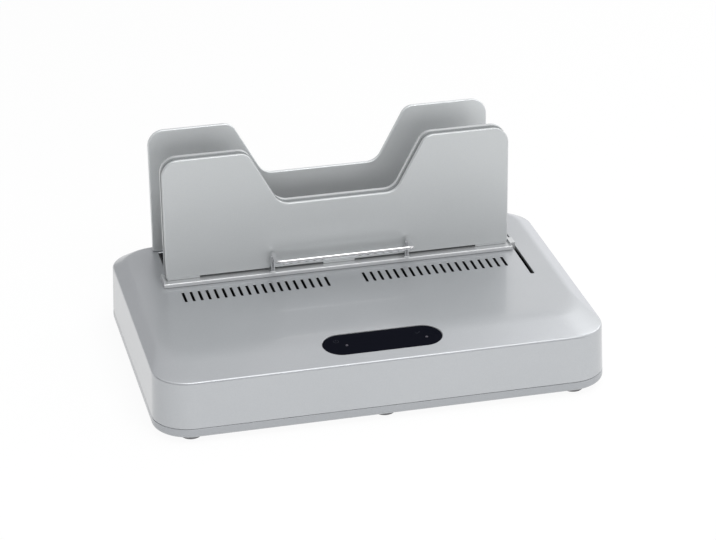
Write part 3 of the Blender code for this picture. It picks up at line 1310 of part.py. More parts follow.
def build_leads():
    """Make the insulated leads between inlet, switches, boards and heater."""
    run = FLOOR + LEAD_LIFT
    low = TRAY_UNDERSIDE - LEAD_RADIUS - LOOSE_GAP
    behind = rear_face() - INLET_DEPTH - LOOSE_GAP - LEAD_BEND_RADIUS
    board_top = FLOOR + POWER_POST_HEIGHT + BOARD_WALL + 2 * SEAT_GAP
    board_edge = POWER_BOARD_MIDDLE + POWER_BOARD_DEPTH / 2
    rise = board_edge + LEAD_BEND_RADIUS
    end = board_edge - POWER_POST_INSET
    inlet_back = rear_face() - INLET_DEPTH - SEAT_GAP
    switch_back = rear_face() - SWITCH_DEPTH - SEAT_GAP
    live = -INLET_OFFSET - LEAD_LIVE_OFFSET
    neutral = -INLET_OFFSET + INLET_PIN_SPACING
    switched = -SWITCH_OFFSET - INLET_PIN_SPACING
    start_low = TRAY_UNDERSIDE - 2 * SEAT_GAP - START_BODY_HEIGHT
    start_x = START_PIN_X - LEAD_START_OFFSET
    start_y = WELL_MIDDLE - START_BODY_DEPTH / 4
    thermostat_low = TRAY_UNDERSIDE - 2 * SEAT_GAP - THERMOSTAT_HEIGHT
    near_pin = THERMOSTAT_OFFSET - THERMOSTAT_CAP_RADIUS
    far_pin = THERMOSTAT_OFFSET + THERMOSTAT_CAP_RADIUS / 2
    hop = thermostat_low - LEAD_HOP
    fuse_axis = TRAY_UNDERSIDE - SEAT_GAP - FUSE_RADIUS
    fuse_reach = FUSE_LENGTH / 2 + FUSE_LEG_LENGTH + SEAT_GAP
    fuse_near = FUSE_OFFSET - fuse_reach
    fuse_far = FUSE_OFFSET + fuse_reach
    feed = -POWER_BOARD_OFFSET + LEAD_FEED_OFFSET
    back = feed + 2 * LEAD_BEND_RADIUS
    panel_x = -CONTROL_BOARD_LENGTH / 2 + LEAD_BEND_RADIUS
    panel_y = FRONT + CONTROL_BOARD_SETBACK + CONTROL_BOARD_DEPTH / 4
    panel_low = control_board_top() - BOARD_WALL - SEAT_GAP
    front_y = POWER_BOARD_MIDDLE - POWER_BOARD_DEPTH / 2 + POWER_POST_INSET
    panel_turn = (board_top + panel_low) / 2
    routes = {
        "lead_inlet_to_board": [
            (live, inlet_back, low), (live, behind, low), (live, behind, run),
            *over_board(live, run, rise, end, board_top)],
        "lead_inlet_to_switch": [
            (neutral, inlet_back, low), (neutral, behind, low), (switched, behind, low),
            (switched, switch_back, low)],
        "lead_switch_to_board": [
            (-SWITCH_OFFSET, switch_back, low), (-SWITCH_OFFSET, behind, low), (-SWITCH_OFFSET, behind, run),
            *over_board(-SWITCH_OFFSET, run, rise, end, board_top)],
        "lead_start_switch": [
            (start_x, start_y, start_low), (start_x, start_y, run),
            *over_board(start_x, run, rise, end, board_top)],
        "lead_board_to_thermostat": [
            (near_pin, WELL_MIDDLE, thermostat_low), (near_pin, WELL_MIDDLE, run), (feed, WELL_MIDDLE, run),
            *over_board(feed, run, rise, end, board_top)],
        "lead_thermostat_to_fuse": [
            (far_pin, WELL_MIDDLE, thermostat_low), (far_pin, WELL_MIDDLE, hop),
            (fuse_near - LEAD_BEND_RADIUS, WELL_MIDDLE, hop),
            (fuse_near - LEAD_BEND_RADIUS, WELL_MIDDLE, fuse_axis), (fuse_near, WELL_MIDDLE, fuse_axis)],
        "lead_fuse_to_board": [
            (fuse_far, WELL_MIDDLE, fuse_axis), (fuse_far + LEAD_BEND_RADIUS, WELL_MIDDLE, fuse_axis),
            (fuse_far + LEAD_BEND_RADIUS, WELL_MIDDLE, run), (fuse_far + LEAD_BEND_RADIUS, rise, run),
            *over_board(back, run, rise, end, board_top)],
        "lead_boards": [
            (panel_x, front_y, board_top), (panel_x, front_y, panel_turn),
            (panel_x, panel_y, panel_turn), (panel_x, panel_y, panel_low)],
    }
    for name, points in routes.items():
        radii = [LEAD_TURN_RADIUS] * (len(points) - 2)
        wire(name, points, radii, LEAD_RADIUS, LEAD_RESOLUTION, SMALL_STEPS, "lead")


def main():
    """Build every piece."""
    build_top_cover()
    build_bottom_pan()
    build_feet()
    moving = [*build_front_plate(), build_front_carriage(), build_pull_bail(), build_guide()]
    carry("carriage_slide", (GUIDE_X, FRONT_PLATE_FACE, ROD_HEIGHT), moving)
    build_rear_plate()
    build_rear_strip()
    build_well()
    build_start_switch()
    build_limiters()
    build_panel()
    build_power_board()
    build_inlet()
    build_switch()
    build_screws()
    build_leads()


if __name__ == "__main__":
    main()
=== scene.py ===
"""Looks of a desktop thermal binding machine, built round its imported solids, in metres.

A silver housing of two mouldings holds a heated well. Two notched plates stand over the well: the rear one is
fixed, and the front one slides with its foot strip and its wire bail. Finer meshes stand for the solids that
show, and the pieces inside keep their own shape and get their finish here.
"""

import logging
import math
from collections.abc import Callable, Iterable, Sequence
from dataclasses import dataclass, replace
from enum import Enum

import bmesh
import bpy
from mathutils import Matrix, Vector


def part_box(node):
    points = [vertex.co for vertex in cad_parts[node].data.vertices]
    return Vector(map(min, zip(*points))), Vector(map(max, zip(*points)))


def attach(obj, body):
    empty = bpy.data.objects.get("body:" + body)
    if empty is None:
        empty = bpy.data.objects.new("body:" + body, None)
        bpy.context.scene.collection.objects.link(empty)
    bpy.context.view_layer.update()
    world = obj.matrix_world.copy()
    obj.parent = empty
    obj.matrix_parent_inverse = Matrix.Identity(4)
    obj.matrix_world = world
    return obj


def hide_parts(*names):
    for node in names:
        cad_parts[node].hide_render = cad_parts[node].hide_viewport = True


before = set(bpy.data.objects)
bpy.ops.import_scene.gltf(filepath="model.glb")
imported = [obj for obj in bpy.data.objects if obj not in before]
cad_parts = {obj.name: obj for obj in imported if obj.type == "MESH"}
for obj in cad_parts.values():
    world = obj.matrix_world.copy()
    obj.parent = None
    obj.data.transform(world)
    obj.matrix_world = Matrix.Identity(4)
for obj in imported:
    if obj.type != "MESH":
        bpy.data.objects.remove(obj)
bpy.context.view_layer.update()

LOG = logging.getLogger("binding_machine")
Point = tuple[float, float]
Corner = tuple[float, float, float]
Colour = tuple[float, float, float]
Zone = tuple[float, float, float, float, float]
SMOOTH_LIMIT = math.radians(32)
ROUND_LIMIT = math.radians(50)
WELD = 0.00001
OVERRUN = 0.002
CLEARANCE = 0.0003
FINE_EDGE = 0.0003
FLAT_WEIGHT = 80
FEW_STEPS = 5
ROUND_SIDES = 24
BROAD_SCALE = 14.0
FLAKE_LUMPS = 0.25
TRACK_WIDTH = 0.03
WHITE = (1.0, 1.0, 1.0, 1.0)
DARK = (0.0, 0.0, 0.0, 1.0)
ALONG_X = Matrix(((0, 0, 1, 0), (1, 0, 0, 0), (0, 1, 0, 0), (0, 0, 0, 1)))
UPRIGHT = Matrix(((1, 0, 0, 0), (0, 0, 1, 0), (0, 1, 0, 0), (0, 0, 0, 1)))


class Body(Enum):
    """The bodies that new pieces ride on."""

    HOUSING = "housing"
    CARRIAGE = "carriage"


class Slot(Enum):
    """The kinds of material that the finishes name."""

    SILVER = "silver_paint"
    STEEL = "steel"
    CHROME = "chrome"
    ALUMINIUM = "aluminium"
    RUBBER = "rubber"
    BLACK = "black_plastic"
    LENS = "lens"
    LIGHT = "light"
    BOARD = "board"
    MICA = "mica"
    FELT = "felt"
    BRASS = "brass"
    LEAD = "lead"


class Surface(Enum):
    """The kinds of fine pattern that a finish may carry."""

    FLAKES = "flakes"
    GRAIN = "grain"
    BRUSHED = "brushed"
    SMOOTH = "smooth"
    FIBRES = "fibres"
    LAYERS = "layers"
    TRACKS = "tracks"


class Merge(Enum):
    """How one shape changes another."""

    CUT = "DIFFERENCE"
    JOIN = "UNION"


class Socket:
    """One output of a shader node, with the arithmetic that the operators give it."""

    def __init__(self, sheet: "NodeSheet", link: bpy.types.NodeSocket) -> None:
        """Wrap a socket of a sheet."""
        self.sheet = sheet
        self.link = link

    def _math(self, operation: str, first: object, second: object) -> "Socket":
        """Return the result of a Math node on two values or links."""
        return self.sheet.node("ShaderNodeMath", {"operation": operation}, {0: first, 1: second})

    def __add__(self, other: object) -> "Socket":
        """Return self + other."""
        return self._math("ADD", self, other)

    def __radd__(self, other: object) -> "Socket":
        """Return other + self."""
        return self._math("ADD", other, self)

    def __sub__(self, other: object) -> "Socket":
        """Return self - other."""
        return self._math("SUBTRACT", self, other)

    def __rsub__(self, other: object) -> "Socket":
        """Return other - self."""
        return self._math("SUBTRACT", other, self)

    def __mul__(self, other: object) -> "Socket":
        """Return self * other."""
        return self._math("MULTIPLY", self, other)

    def __rmul__(self, other: object) -> "Socket":
        """Return other * self."""
        return self._math("MULTIPLY", other, self)

    def __gt__(self, other: object) -> "Socket":
        """Return 1 where self is greater than other."""
        return self._math("GREATER_THAN", self, other)

    def __lt__(self, other: object) -> "Socket":
        """Return 1 where self is less than other."""
        return self._math("LESS_THAN", self, other)

    def at_least(self, other: object) -> "Socket":
        """Return the greater of self and other."""
        return self._math("MAXIMUM", self, other)


class NodeSheet:
    """The node tree of one material or of the world."""

    def __init__(self, owner: bpy.types.Material | bpy.types.World) -> None:
        """Start with an empty tree.

        Args:
            owner: The material or the world that has the tree.
        """
        owner.use_nodes = True
        self.tree = owner.node_tree
        self.tree.nodes.clear()

    def node(self, kind: str, settings: dict[str, object] | None = None,
             inputs: dict[int | str, object] | None = None, output: int | str = 0) -> Socket:
        """Add a node, set it up, and feed its sockets.

        Args:
            kind: The node's type.
            settings: The node's own settings, such as an operation.
            inputs: The values or links of its sockets.
            output: The output that is wanted.

        Returns:
            That output.
        """
        made = self.tree.nodes.new(kind)
        for name, value in (settings or {}).items():
            setattr(made, name, value)
        for key, value in (inputs or {}).items():
            if isinstance(value, Socket):
                self.tree.links.new(value.link, made.inputs[key])
            else:
                made.inputs[key].default_value = value
        return Socket(self, made.outputs[output] if made.outputs else None)

    def blend(self, share: object, first: object, second: object) -> Socket:
        """Return the mix of two colours, with a share of the second in it."""
        return self.node("ShaderNodeMix", {"data_type": "RGBA"}, {0: share, 6: first, 7: second}, 2)

    def place(self) -> Socket:
        """Return the point on the surface, in metres."""
        return self.node("ShaderNodeTexCoord", output="Object")

    def stretched(self, scale: Colour) -> Socket:
        """Return the point on the surface, scaled along each axis."""
        return self.node("ShaderNodeVectorMath", {"operation": "MULTIPLY"}, {0: self.place(), 1: scale})

    def within(self, zone: Zone) -> Socket:
        """Return 1 inside a zone, and 0 outside it.

        Args:
            zone: Half of its width, its near and far planes, and its low and high ones.

        Returns:
            The mask.
        """
        x, y, z = (self.node("ShaderNodeSeparateXYZ", {}, {0: self.place()}, name) for name in "XYZ")
        x = self.node("ShaderNodeMath", {"operation": "ABSOLUTE"}, {0: x})
        half, near, far, low, high = zone
        return (x < half) * (y > near) * (y < far) * (z > low) * (z < high)

    def noise(self, scale: float, detail: float = 3.0, at: Socket | None = None) -> Socket:
        """Return soft noise from 0 to 1, of a scale in lumps to the metre, read at a point."""
        at = at or self.place()
        return self.node("ShaderNodeTexNoise", {}, {"Vector": at, "Scale": scale, "Detail": detail})

    def cells(self, scale: float, output: str = "Distance") -> Socket:
        """Return the distance in, or the colour of, small random cells."""
        return self.node("ShaderNodeTexVoronoi", {}, {"Vector": self.place(), "Scale": scale}, output)


# The detail of each drawn-out pattern, and its scale along each axis.
DRAWN_OUT: dict[Surface, tuple[float, Colour]] = {
    Surface.BRUSHED: (4.0, (0.03, 1.0, 1.0)),
    Surface.FIBRES: (8.0, (1.0, 0.35, 2.0)),
    Surface.LAYERS: (6.0, (0.3, 1.0, 6.0)),
}


@dataclass(frozen=True)
class Finish:
    """A finish: its colour and gloss, and the fine pattern on it.

    Attributes:
        name: The material's name.
        slot: The kind of material that it stands for; it is not used.
        colour, second: The main colour, and the one that the pattern brings in.
        surface, scale: The kind of pattern, and its lumps to the metre.
        relief: The height of its bump.
        uneven: How much the roughness varies.
        painted_shade_zone: The zone that holds cut walls or grooves, where shade is painted as a dark colour.
            shade, shade_rough: The colour of this painted shade, and how much rougher it is.
    """

    name: str
    slot: Slot
    colour: Colour
    second: Colour
    roughness: float
    metallic: float
    surface: Surface
    scale: float
    relief: float
    uneven: float = 0.06
    coat: float = 0.0
    coat_roughness: float = 0.1
    specular: float = 0.5
    painted_shade_zone: Zone | None = None
    shade: Colour = (0.0, 0.0, 0.0)
    shade_rough: float = 0.4

    def material(self) -> bpy.types.Material:
        """Find the finish's material, or make it on first use.

        Returns:
            The material.
        """
        made = bpy.data.materials.get(self.name)
        if made:
            return made
        made = bpy.data.materials.new(self.name)
        made.diffuse_color = (*self.colour, 1.0)
        sheet = NodeSheet(made)
        colour, roughness, height = self._pattern(sheet)
        metallic, coat = self.metallic, self.coat
        # Paint shade into the zone: its dark colour, with no metal or coat, and more roughness.
        if self.painted_shade_zone:
            inside = sheet.within(self.painted_shade_zone)
            colour = sheet.blend(inside, colour, (*self.shade, 1.0))
            metallic = metallic * (1.0 - inside)
            coat = coat * (1.0 - inside)
            roughness = roughness + inside * self.shade_rough
        bump = {"Strength": 1.0, "Distance": self.relief, "Height": height}
        shader = sheet.node("ShaderNodeBsdfPrincipled", {}, {
            "Base Color": colour, "Roughness": roughness, "Metallic": metallic, "Coat Weight": coat,
            "Coat Roughness": self.coat_roughness, "Specular IOR Level": self.specular,
            "Normal": sheet.node("ShaderNodeBump", {}, bump, "Normal")}, "BSDF")
        sheet.node("ShaderNodeOutputMaterial", {}, {"Surface": shader})
        return made

    def _pattern(self, sheet: NodeSheet) -> tuple[Socket, Socket, Socket]:
        """Lay the pattern.

        Args:
            sheet: The node tree to lay it in.

        Returns:
            The colour, the roughness and the height of the bump.
        """
        broad = sheet.noise(BROAD_SCALE, 2.0)
        fine = sheet.noise(self.scale)
        share = height = fine
        if self.surface is Surface.FLAKES:
            flakes = {"Color": sheet.cells(self.scale, "Color")}
            share = sheet.node("ShaderNodeSeparateColor", {}, flakes, "Red") * 0.55 + broad * 0.45
            height = sheet.noise(self.scale * FLAKE_LUMPS, 1.0)
        elif self.surface is Surface.GRAIN:
            height = sheet.cells(self.scale)
            share = broad * 0.6 + height * 0.4
        elif self.surface in DRAWN_OUT:
            detail, stretch = DRAWN_OUT[self.surface]
            share = height = sheet.noise(self.scale, detail, sheet.stretched(stretch))
        elif self.surface is Surface.TRACKS:
            height = sheet.node("ShaderNodeTexBrick", {"offset": 0.5}, {
                "Vector": sheet.place(), "Scale": self.scale, "Mortar Size": TRACK_WIDTH,
                "Color1": DARK, "Color2": DARK, "Mortar": WHITE}, "Fac")
            share = height * 0.8 + fine * 0.2
        rough = self.roughness + (broad * 0.5 + fine * 0.5 - 0.5) * (2.0 * self.uneven)
        return sheet.blend(share, (*self.colour, 1.0), (*self.second, 1.0)), rough, height


# Where shade is painted on the cover: the walls of its cuts, in near black.
CUT_WALL_SHADE: Zone = (0.1600, -0.0300, 0.1320, 0.0400, 0.0612)
# Where shade is painted on the front plate: the groove round its edge, in dark grey.
GROOVE_SHADE: Zone = (0.2000, 0.0500, 0.0561, 0.0700, 0.2000)
SILVER = Finish("silver_paint_satin", Slot.SILVER, (0.394, 0.409, 0.427), (0.446, 0.460, 0.475), 0.30, 0.56,
                Surface.FLAKES, 2600.0, 0.000012, 0.03, 0.50, 0.05, painted_shade_zone=CUT_WALL_SHADE,
                shade=(0.012, 0.012, 0.013))
PLATE_SILVER = Finish("silver_paint_plate", Slot.SILVER, (0.460, 0.478, 0.485), (0.510, 0.525, 0.532), 0.38,
                      0.45, Surface.FLAKES, 2600.0, 0.000010, 0.03, 0.20, 0.12, painted_shade_zone=GROOVE_SHADE,
                      shade=(0.20, 0.21, 0.215))
# A lighter copy of the housing paint for the foot strips: painted light along their bright edge.
STRIP_SILVER_PAINTED_LIGHT = replace(SILVER, name="silver_paint_strip_painted_light", colour=(0.540, 0.552, 0.562),
                       second=(0.590, 0.600, 0.608), painted_shade_zone=None)
# A lighter copy of the plate paint for the rear plate: painted light on its inner face.
REAR_SILVER_PAINTED_LIGHT = replace(PLATE_SILVER, name="silver_paint_rear_painted_light", colour=(0.580, 0.602, 0.610),
                      second=(0.630, 0.648, 0.656), painted_shade_zone=None)
PAN_SILVER = Finish("silver_paint_lower", Slot.SILVER, (0.345, 0.360, 0.379), (0.391, 0.404, 0.421), 0.33,
                    0.70, Surface.FLAKES, 2600.0, 0.000014, 0.03, 0.30, 0.08)
CHROME = Finish("chrome_wire", Slot.CHROME, (0.80, 0.80, 0.81), (0.86, 0.86, 0.87), 0.15, 1.0,
                Surface.SMOOTH, 900.0, 0.000004, 0.02)
STEEL = Finish("zinc_steel", Slot.STEEL, (0.48, 0.48, 0.49), (0.60, 0.60, 0.60), 0.36, 1.0,
               Surface.BRUSHED, 1500.0, 0.000012, 0.08)
LINER_STEEL = Finish("painted_liner", Slot.STEEL, (0.36, 0.375, 0.385), (0.41, 0.42, 0.43), 0.42, 0.55,
                     Surface.FLAKES, 2200.0, 0.000012, 0.04)
ALUMINIUM = Finish("milled_aluminium", Slot.ALUMINIUM, (0.60, 0.60, 0.61), (0.74, 0.74, 0.75), 0.33, 1.0,
                   Surface.BRUSHED, 1800.0, 0.000015, 0.08)
RUBBER = Finish("foot_rubber", Slot.RUBBER, (0.130, 0.130, 0.136), (0.180, 0.180, 0.186), 0.62, 0.0,
                Surface.GRAIN, 1500.0, 0.00003, 0.06)
BLACK = Finish("moulded_black", Slot.BLACK, (0.016, 0.016, 0.018), (0.030, 0.030, 0.033), 0.42, 0.0,
               Surface.GRAIN, 1900.0, 0.00002, 0.05)
LENS = Finish("panel_gloss", Slot.LENS, (0.0026, 0.0031, 0.0062), (0.0034, 0.0040, 0.0076), 0.08, 0.0,
              Surface.SMOOTH, 500.0, 0.000002, 0.02, specular=0.012)
GLOW_WARM = Finish("light_pipe", Slot.LIGHT, (0.050, 0.048, 0.060), (0.080, 0.076, 0.090), 0.35, 0.0,
                   Surface.SMOOTH, 900.0, 0.00001, specular=0.1)
PRINT = Finish("panel_print", Slot.LENS, (0.010, 0.011, 0.016), (0.014, 0.015, 0.022), 0.5, 0.0,
               Surface.SMOOTH, 900.0, 0.000005, specular=0.05)
BOARD = Finish("board_lacquer", Slot.BOARD, (0.010, 0.085, 0.030), (0.060, 0.200, 0.070), 0.30, 0.0,
               Surface.TRACKS, 90.0, 0.00003)
MICA = Finish("mica_sheet", Slot.MICA, (0.34, 0.25, 0.13), (0.55, 0.46, 0.30), 0.45, 0.0,
              Surface.LAYERS, 220.0, 0.00008)
FELT = Finish("fibre_felt", Slot.FELT, (0.62, 0.60, 0.55), (0.82, 0.81, 0.78), 0.92, 0.0,
              Surface.FIBRES, 900.0, 0.0003)
BRASS = Finish("pin_brass", Slot.BRASS, (0.62, 0.46, 0.20), (0.78, 0.62, 0.32), 0.28, 1.0,
               Surface.BRUSHED, 1500.0, 0.000008)
LEAD = Finish("lead_sleeve", Slot.LEAD, (0.36, 0.035, 0.030), (0.50, 0.060, 0.050), 0.42, 0.0,
              Surface.GRAIN, 2500.0, 0.00001)


def filleted(corners: Sequence[Corner], steps: int) -> list[Point]:
    """Round each corner of an outline.

    Args:
        corners: Each corner's place and radius, anticlockwise.
        steps: Steps in each rounded corner.

    Returns:
        The closed outline.
    """
    outline: list[Point] = []
    for index, (u, v, radius) in enumerate(corners):
        if radius == 0:
            outline.append((u, v))
            continue
        here = Vector((u, v))
        inward = (here - Vector(corners[index - 1][:2])).normalized()
        outward = (Vector(corners[(index + 1) % len(corners)][:2]) - here).normalized()
        turn = math.atan2(inward.x * outward.y - inward.y * outward.x, inward.dot(outward))
        start = here - inward * radius * math.tan(abs(turn) / 2)
        centre = start + Vector((-inward.y, inward.x)) * math.copysign(radius, turn)
        for step in range(steps + 1):
            point = centre + Matrix.Rotation(turn * step / steps, 2) @ (start - centre)
            outline.append((point.x, point.y))
    return outline


def inset(corners: Sequence[Corner], distance: float) -> list[Corner]:
    """Move every edge of an outline inwards.

    Args:
        corners: Each corner's place and radius, anticlockwise.
        distance: How far the edges move.

    Returns:
        The moved corners, with concentric radii.
    """
    lines = []
    for index, corner in enumerate(corners):
        here = Vector(corner[:2])
        along = (Vector(corners[(index + 1) % len(corners)][:2]) - here).normalized()
        lines.append((here + Vector((-along.y, along.x)) * distance, along))
    moved = []
    for index, corner in enumerate(corners):
        start, inward = lines[index - 1]
        end, outward = lines[index]
        turn = inward.x * outward.y - inward.y * outward.x
        across = end - start
        here = start + inward * (across.x * outward.y - across.y * outward.x) / turn
        radius = corner[2] and max(corner[2] - distance * math.copysign(1.0, turn), 0.0)
        moved.append((here.x, here.y, radius))
    return moved


def rectangle(left: float, right: float, low: float, high: float, radius: float) -> list[Corner]:
    """Return the four corners of an upright rectangle, anticlockwise."""
    return [(left, low, radius), (right, low, radius), (right, high, radius), (left, high, radius)]


def arc_between(first: Vector, corner: Vector, last: Vector, radius: float, steps: int) -> list[Vector]:
    """Round the corner between two straight runs.

    Args:
        first: A point on the first run.
        corner: The sharp corner.
        last: A point on the last run.
        radius: The radius of the arc.
        steps: Steps in the arc.

    Returns:
        The arc's points, from the first run to the last.
    """
    back = (first - corner).normalized()
    on = (last - corner).normalized()
    opening = back.angle(on)
    middle = corner + (back + on).normalized() * radius / math.sin(opening / 2)
    start = corner + back * radius / math.tan(opening / 2) - middle
    end = corner + on * radius / math.tan(opening / 2) - middle
    turn = start.angle(end)
    shares = (k / steps for k in range(steps + 1))
    return [middle + (start * math.sin(turn * (1 - share)) + end * math.sin(turn * share)) / math.sin(turn)
            for share in shares]


def bent_path(points: Sequence[Vector], radii: Sequence[float], steps: int) -> list[Vector]:
    """Run a path through points, with each inner one rounded by its own radius.

    Args:
        points: The points, from one end to the other.
        radii: The radius at each inner point.
        steps: Steps in each rounded corner.

    Returns:
        The path.
    """
    path = [points[0]]
    for index, radius in enumerate(radii, start=1):
        path += arc_between(points[index - 1], points[index], points[index + 1], radius, steps)
    return [*path, points[-1]]


def link(name: str, data: bpy.types.ID) -> bpy.types.Object:
    """Put some data into the scene.

    Args:
        name: The object's name.
        data: The mesh, lamp or camera that it holds.

    Returns:
        The object.
    """
    made = bpy.data.objects.new(name, data)
    bpy.context.scene.collection.objects.link(made)
    return made


def object_of(name: str, shape: bmesh.types.BMesh) -> bpy.types.Object:
    """Turn a shape into an object of the scene, with its faces outwards.

    Args:
        name: The object's name.
        shape: The shape, which is freed.

    Returns:
        The object.
    """
    bmesh.ops.recalc_face_normals(shape, faces=shape.faces)
    mesh = bpy.data.meshes.new(name)
    shape.to_mesh(mesh)
    shape.free()
    return link(name, mesh)


def loft(name: str, rings: Sequence[Sequence[Sequence[float]]]) -> bpy.types.Object:
    """Skin a closed body through rings of equal count, capped at both ends.

    Args:
        name: The object's name.
        rings: The rings, each a closed run of points.

    Returns:
        The object.
    """
    shape = bmesh.new()
    rows = [[shape.verts.new(point) for point in ring] for ring in rings]
    for lower, upper in zip(rows, rows[1:]):
        for here in range(len(lower)):
            shape.faces.new((lower[here - 1], lower[here], upper[here], upper[here - 1]))
    shape.faces.new(rows[0])
    shape.faces.new(rows[-1])
    return object_of(name, shape)


def prism(name: str, outline: Sequence[Point], low: float, high: float,
          turn: Matrix = Matrix()) -> bpy.types.Object:
    """Raise an outline between two levels of its own axis.

    Args:
        name: The object's name.
        outline: The closed outline.
        low, high: The two levels.
        turn: The place of the outline's plane.

    Returns:
        The object.
    """
    made = loft(name, [[(u, v, level) for u, v in outline] for level in (low, high)])
    made.data.transform(turn)
    if turn.is_negative:
        made.data.flip_normals()
    return made


def stack(name: str, corners: Sequence[Corner], levels: Sequence[Point], steps: int) -> bpy.types.Object:
    """Raise an outline through levels, each an inset and a height, with steps in its rounded corners."""
    return loft(name, [[(u, v, height) for u, v in filleted(inset(corners, distance), steps)]
                       for distance, height in levels])


def flared(name: str, corners: Sequence[Corner], low: float, high: float, lip: float,
           steps: int) -> bpy.types.Object:
    """Return a cutter up to a surface, flared at its top so that it leaves a chamfer of a lip's width."""
    return stack(name, corners, [(0.0, low), (0.0, high - lip), (-lip - OVERRUN, high + OVERRUN)], steps)


def box(name: str, left: float, right: float, front: float, rear: float, low: float,
        high: float) -> bpy.types.Object:
    """Make a block between six planes.

    Args:
        name: The object's name.
        left, right: The planes across X.
        front, rear: The planes across Y.
        low, high: The planes across Z.

    Returns:
        The object.
    """
    shape = bmesh.new()
    size = Vector((right - left, rear - front, high - low))
    middle = Vector((left + right, front + rear, low + high)) / 2
    bmesh.ops.create_cube(shape, size=1.0, matrix=Matrix.LocRotScale(middle, None, size))
    return object_of(name, shape)


def lathe(name: str, profile: Sequence[Point], place: Matrix, sides: int) -> bpy.types.Object:
    """Turn a profile about its own upright axis.

    Args:
        name: The object's name.
        profile: Radius and height of each point, both ends on the axis.
        place: Where the axis stands.
        sides: Sides round the axis.

    Returns:
        The object.
    """
    shape = bmesh.new()
    rows = []
    for radius, height in profile:
        if radius == 0:
            rows.append([shape.verts.new((0.0, 0.0, height))])
            continue
        angles = (2 * math.pi * side / sides for side in range(sides))
        rows.append([shape.verts.new((radius * math.cos(a), radius * math.sin(a), height)) for a in angles])
    for lower, upper in zip(rows, rows[1:]):
        for here in range(sides):
            ring = [lower[here - 1], lower[here]] if len(lower) > 1 else [lower[0]]
            ring += [upper[here], upper[here - 1]] if len(upper) > 1 else [upper[0]]
            shape.faces.new(ring)
    shape.transform(place)
    return object_of(name, shape)


def plug(radius: float, low: float, high: float, x: float, y: float) -> bpy.types.Object:
    """Return a round upright cutter between two heights."""
    profile = [(0.0, low), (radius, low), (radius, high), (0.0, high)]
    return lathe("plug", profile, Matrix.Translation((x, y, 0.0)), ROUND_SIDES)


def quarter(radius: float, steps: int) -> list[Point]:
    """Return how far a rounded edge lies inwards and downwards at each step from its side to its top."""
    angles = (math.pi / 2 * k / steps for k in range(steps + 1))
    return [(radius * (1 - math.cos(a)), radius * (1 - math.sin(a))) for a in angles]


def tube(name: str, path: Sequence[Vector], radius: float, sides: int) -> bpy.types.Object:
    """Run a round wire along a path, with domed ends.

    Args:
        name: The object's name.
        path: The points of its middle line.
        radius: The wire's radius.
        sides: Sides round the wire.

    Returns:
        The object.
    """
    rings = []
    across = (path[1] - path[0]).orthogonal().normalized()
    for index, point in enumerate(path):
        ahead = path[min(index + 1, len(path) - 1)] - point
        behind = point - path[max(index - 1, 0)]
        along = (ahead.normalized() + behind.normalized()).normalized()
        across = (across - along * across.dot(along)).normalized()
        up = along.cross(across)
        rings.append([point + radius * (across * math.cos(a) + up * math.sin(a))
                      for a in (2 * math.pi * side / sides for side in range(sides))])
    return loft(name, rings)


def merge(target: bpy.types.Object, how: Merge, *others: bpy.types.Object) -> bpy.types.Object:
    """Cut other objects from a target or join them on.

    Args:
        target: The object that is changed.
        how: Whether they are cut or joined.
        others: The objects, which are used up.

    Returns:
        The target.
    """
    for other in others:
        modifier = target.modifiers.new("shape", "BOOLEAN")
        modifier.operation = how.value
        modifier.solver = "EXACT"
        modifier.object = other
        bake(target)
        bpy.data.objects.remove(other)
    return target


def bake(target: bpy.types.Object) -> None:
    """Turn an object's modifiers into its mesh.

    Args:
        target: The object.
    """
    bpy.context.view_layer.update()
    graph = bpy.context.evaluated_depsgraph_get()
    mesh = bpy.data.meshes.new_from_object(target.evaluated_get(graph))
    target.modifiers.clear()
    target.data = mesh


def soften(target: bpy.types.Object, width: float, segments: int) -> bpy.types.Object:
    """Round every sharp edge.

    Args:
        target: The object that is changed.
        width: The radius of the edges.
        segments: Segments of the rounding.

    Returns:
        The target.
    """
    modifier = target.modifiers.new("round", "BEVEL")
    modifier.width = width
    modifier.segments = segments
    modifier.limit_method = "ANGLE"
    modifier.angle_limit = ROUND_LIMIT
    bake(target)
    return target


def mirrored_row(cutter: bpy.types.Object, first: float, pitch: float, count: int) -> bpy.types.Object:
    """Repeat a cutter along X, on both sides of the middle.

    Args:
        cutter: The cutter, made at the middle.
        first: Where the first one lies.
        pitch: The distance from one to the next.
        count: How many there are on a side.

    Returns:
        The cutter.
    """
    cutter.data.transform(Matrix.Translation((first, 0.0, 0.0)))
    array = cutter.modifiers.new("row", "ARRAY")
    array.count = count
    array.use_relative_offset = False
    array.use_constant_offset = True
    array.constant_offset_displace = (pitch, 0.0, 0.0)
    cutter.modifiers.new("other_side", "MIRROR")
    return cutter


def dress(piece: bpy.types.Object, finish: Finish) -> None:
    """Give a piece its finish, and shade it smooth with its hard edges and flat faces kept.

    Args:
        piece: The piece.
        finish: Its finish.
    """
    piece.data.shade_smooth()
    piece.data.set_sharp_from_angle(angle=SMOOTH_LIMIT)
    weighted = piece.modifiers.new("flat_faces", "WEIGHTED_NORMAL")
    weighted.keep_sharp = True
    weighted.weight = FLAT_WEIGHT
    piece.data.materials.clear()
    piece.data.materials.append(finish.material())
    LOG.info("%s has %s on %d faces", piece.name, finish.name, len(piece.data.polygons))


def show(piece: bpy.types.Object, body: Body, finish: Finish, *nodes: str) -> None:
    """Dress a piece, let it ride on its body, and let it stand for solids.

    Args:
        piece: The piece.
        body: The body that it rides on.
        finish: Its finish.
        nodes: The solids that it stands for.
    """
    dress(piece, finish)
    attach(piece, body.value)
    if nodes:
        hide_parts(*nodes)


def keep(finish: Finish, *nodes: str) -> None:
    """Give solids that stay in view their finish."""
    for node in nodes:
        dress(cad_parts[node], finish)


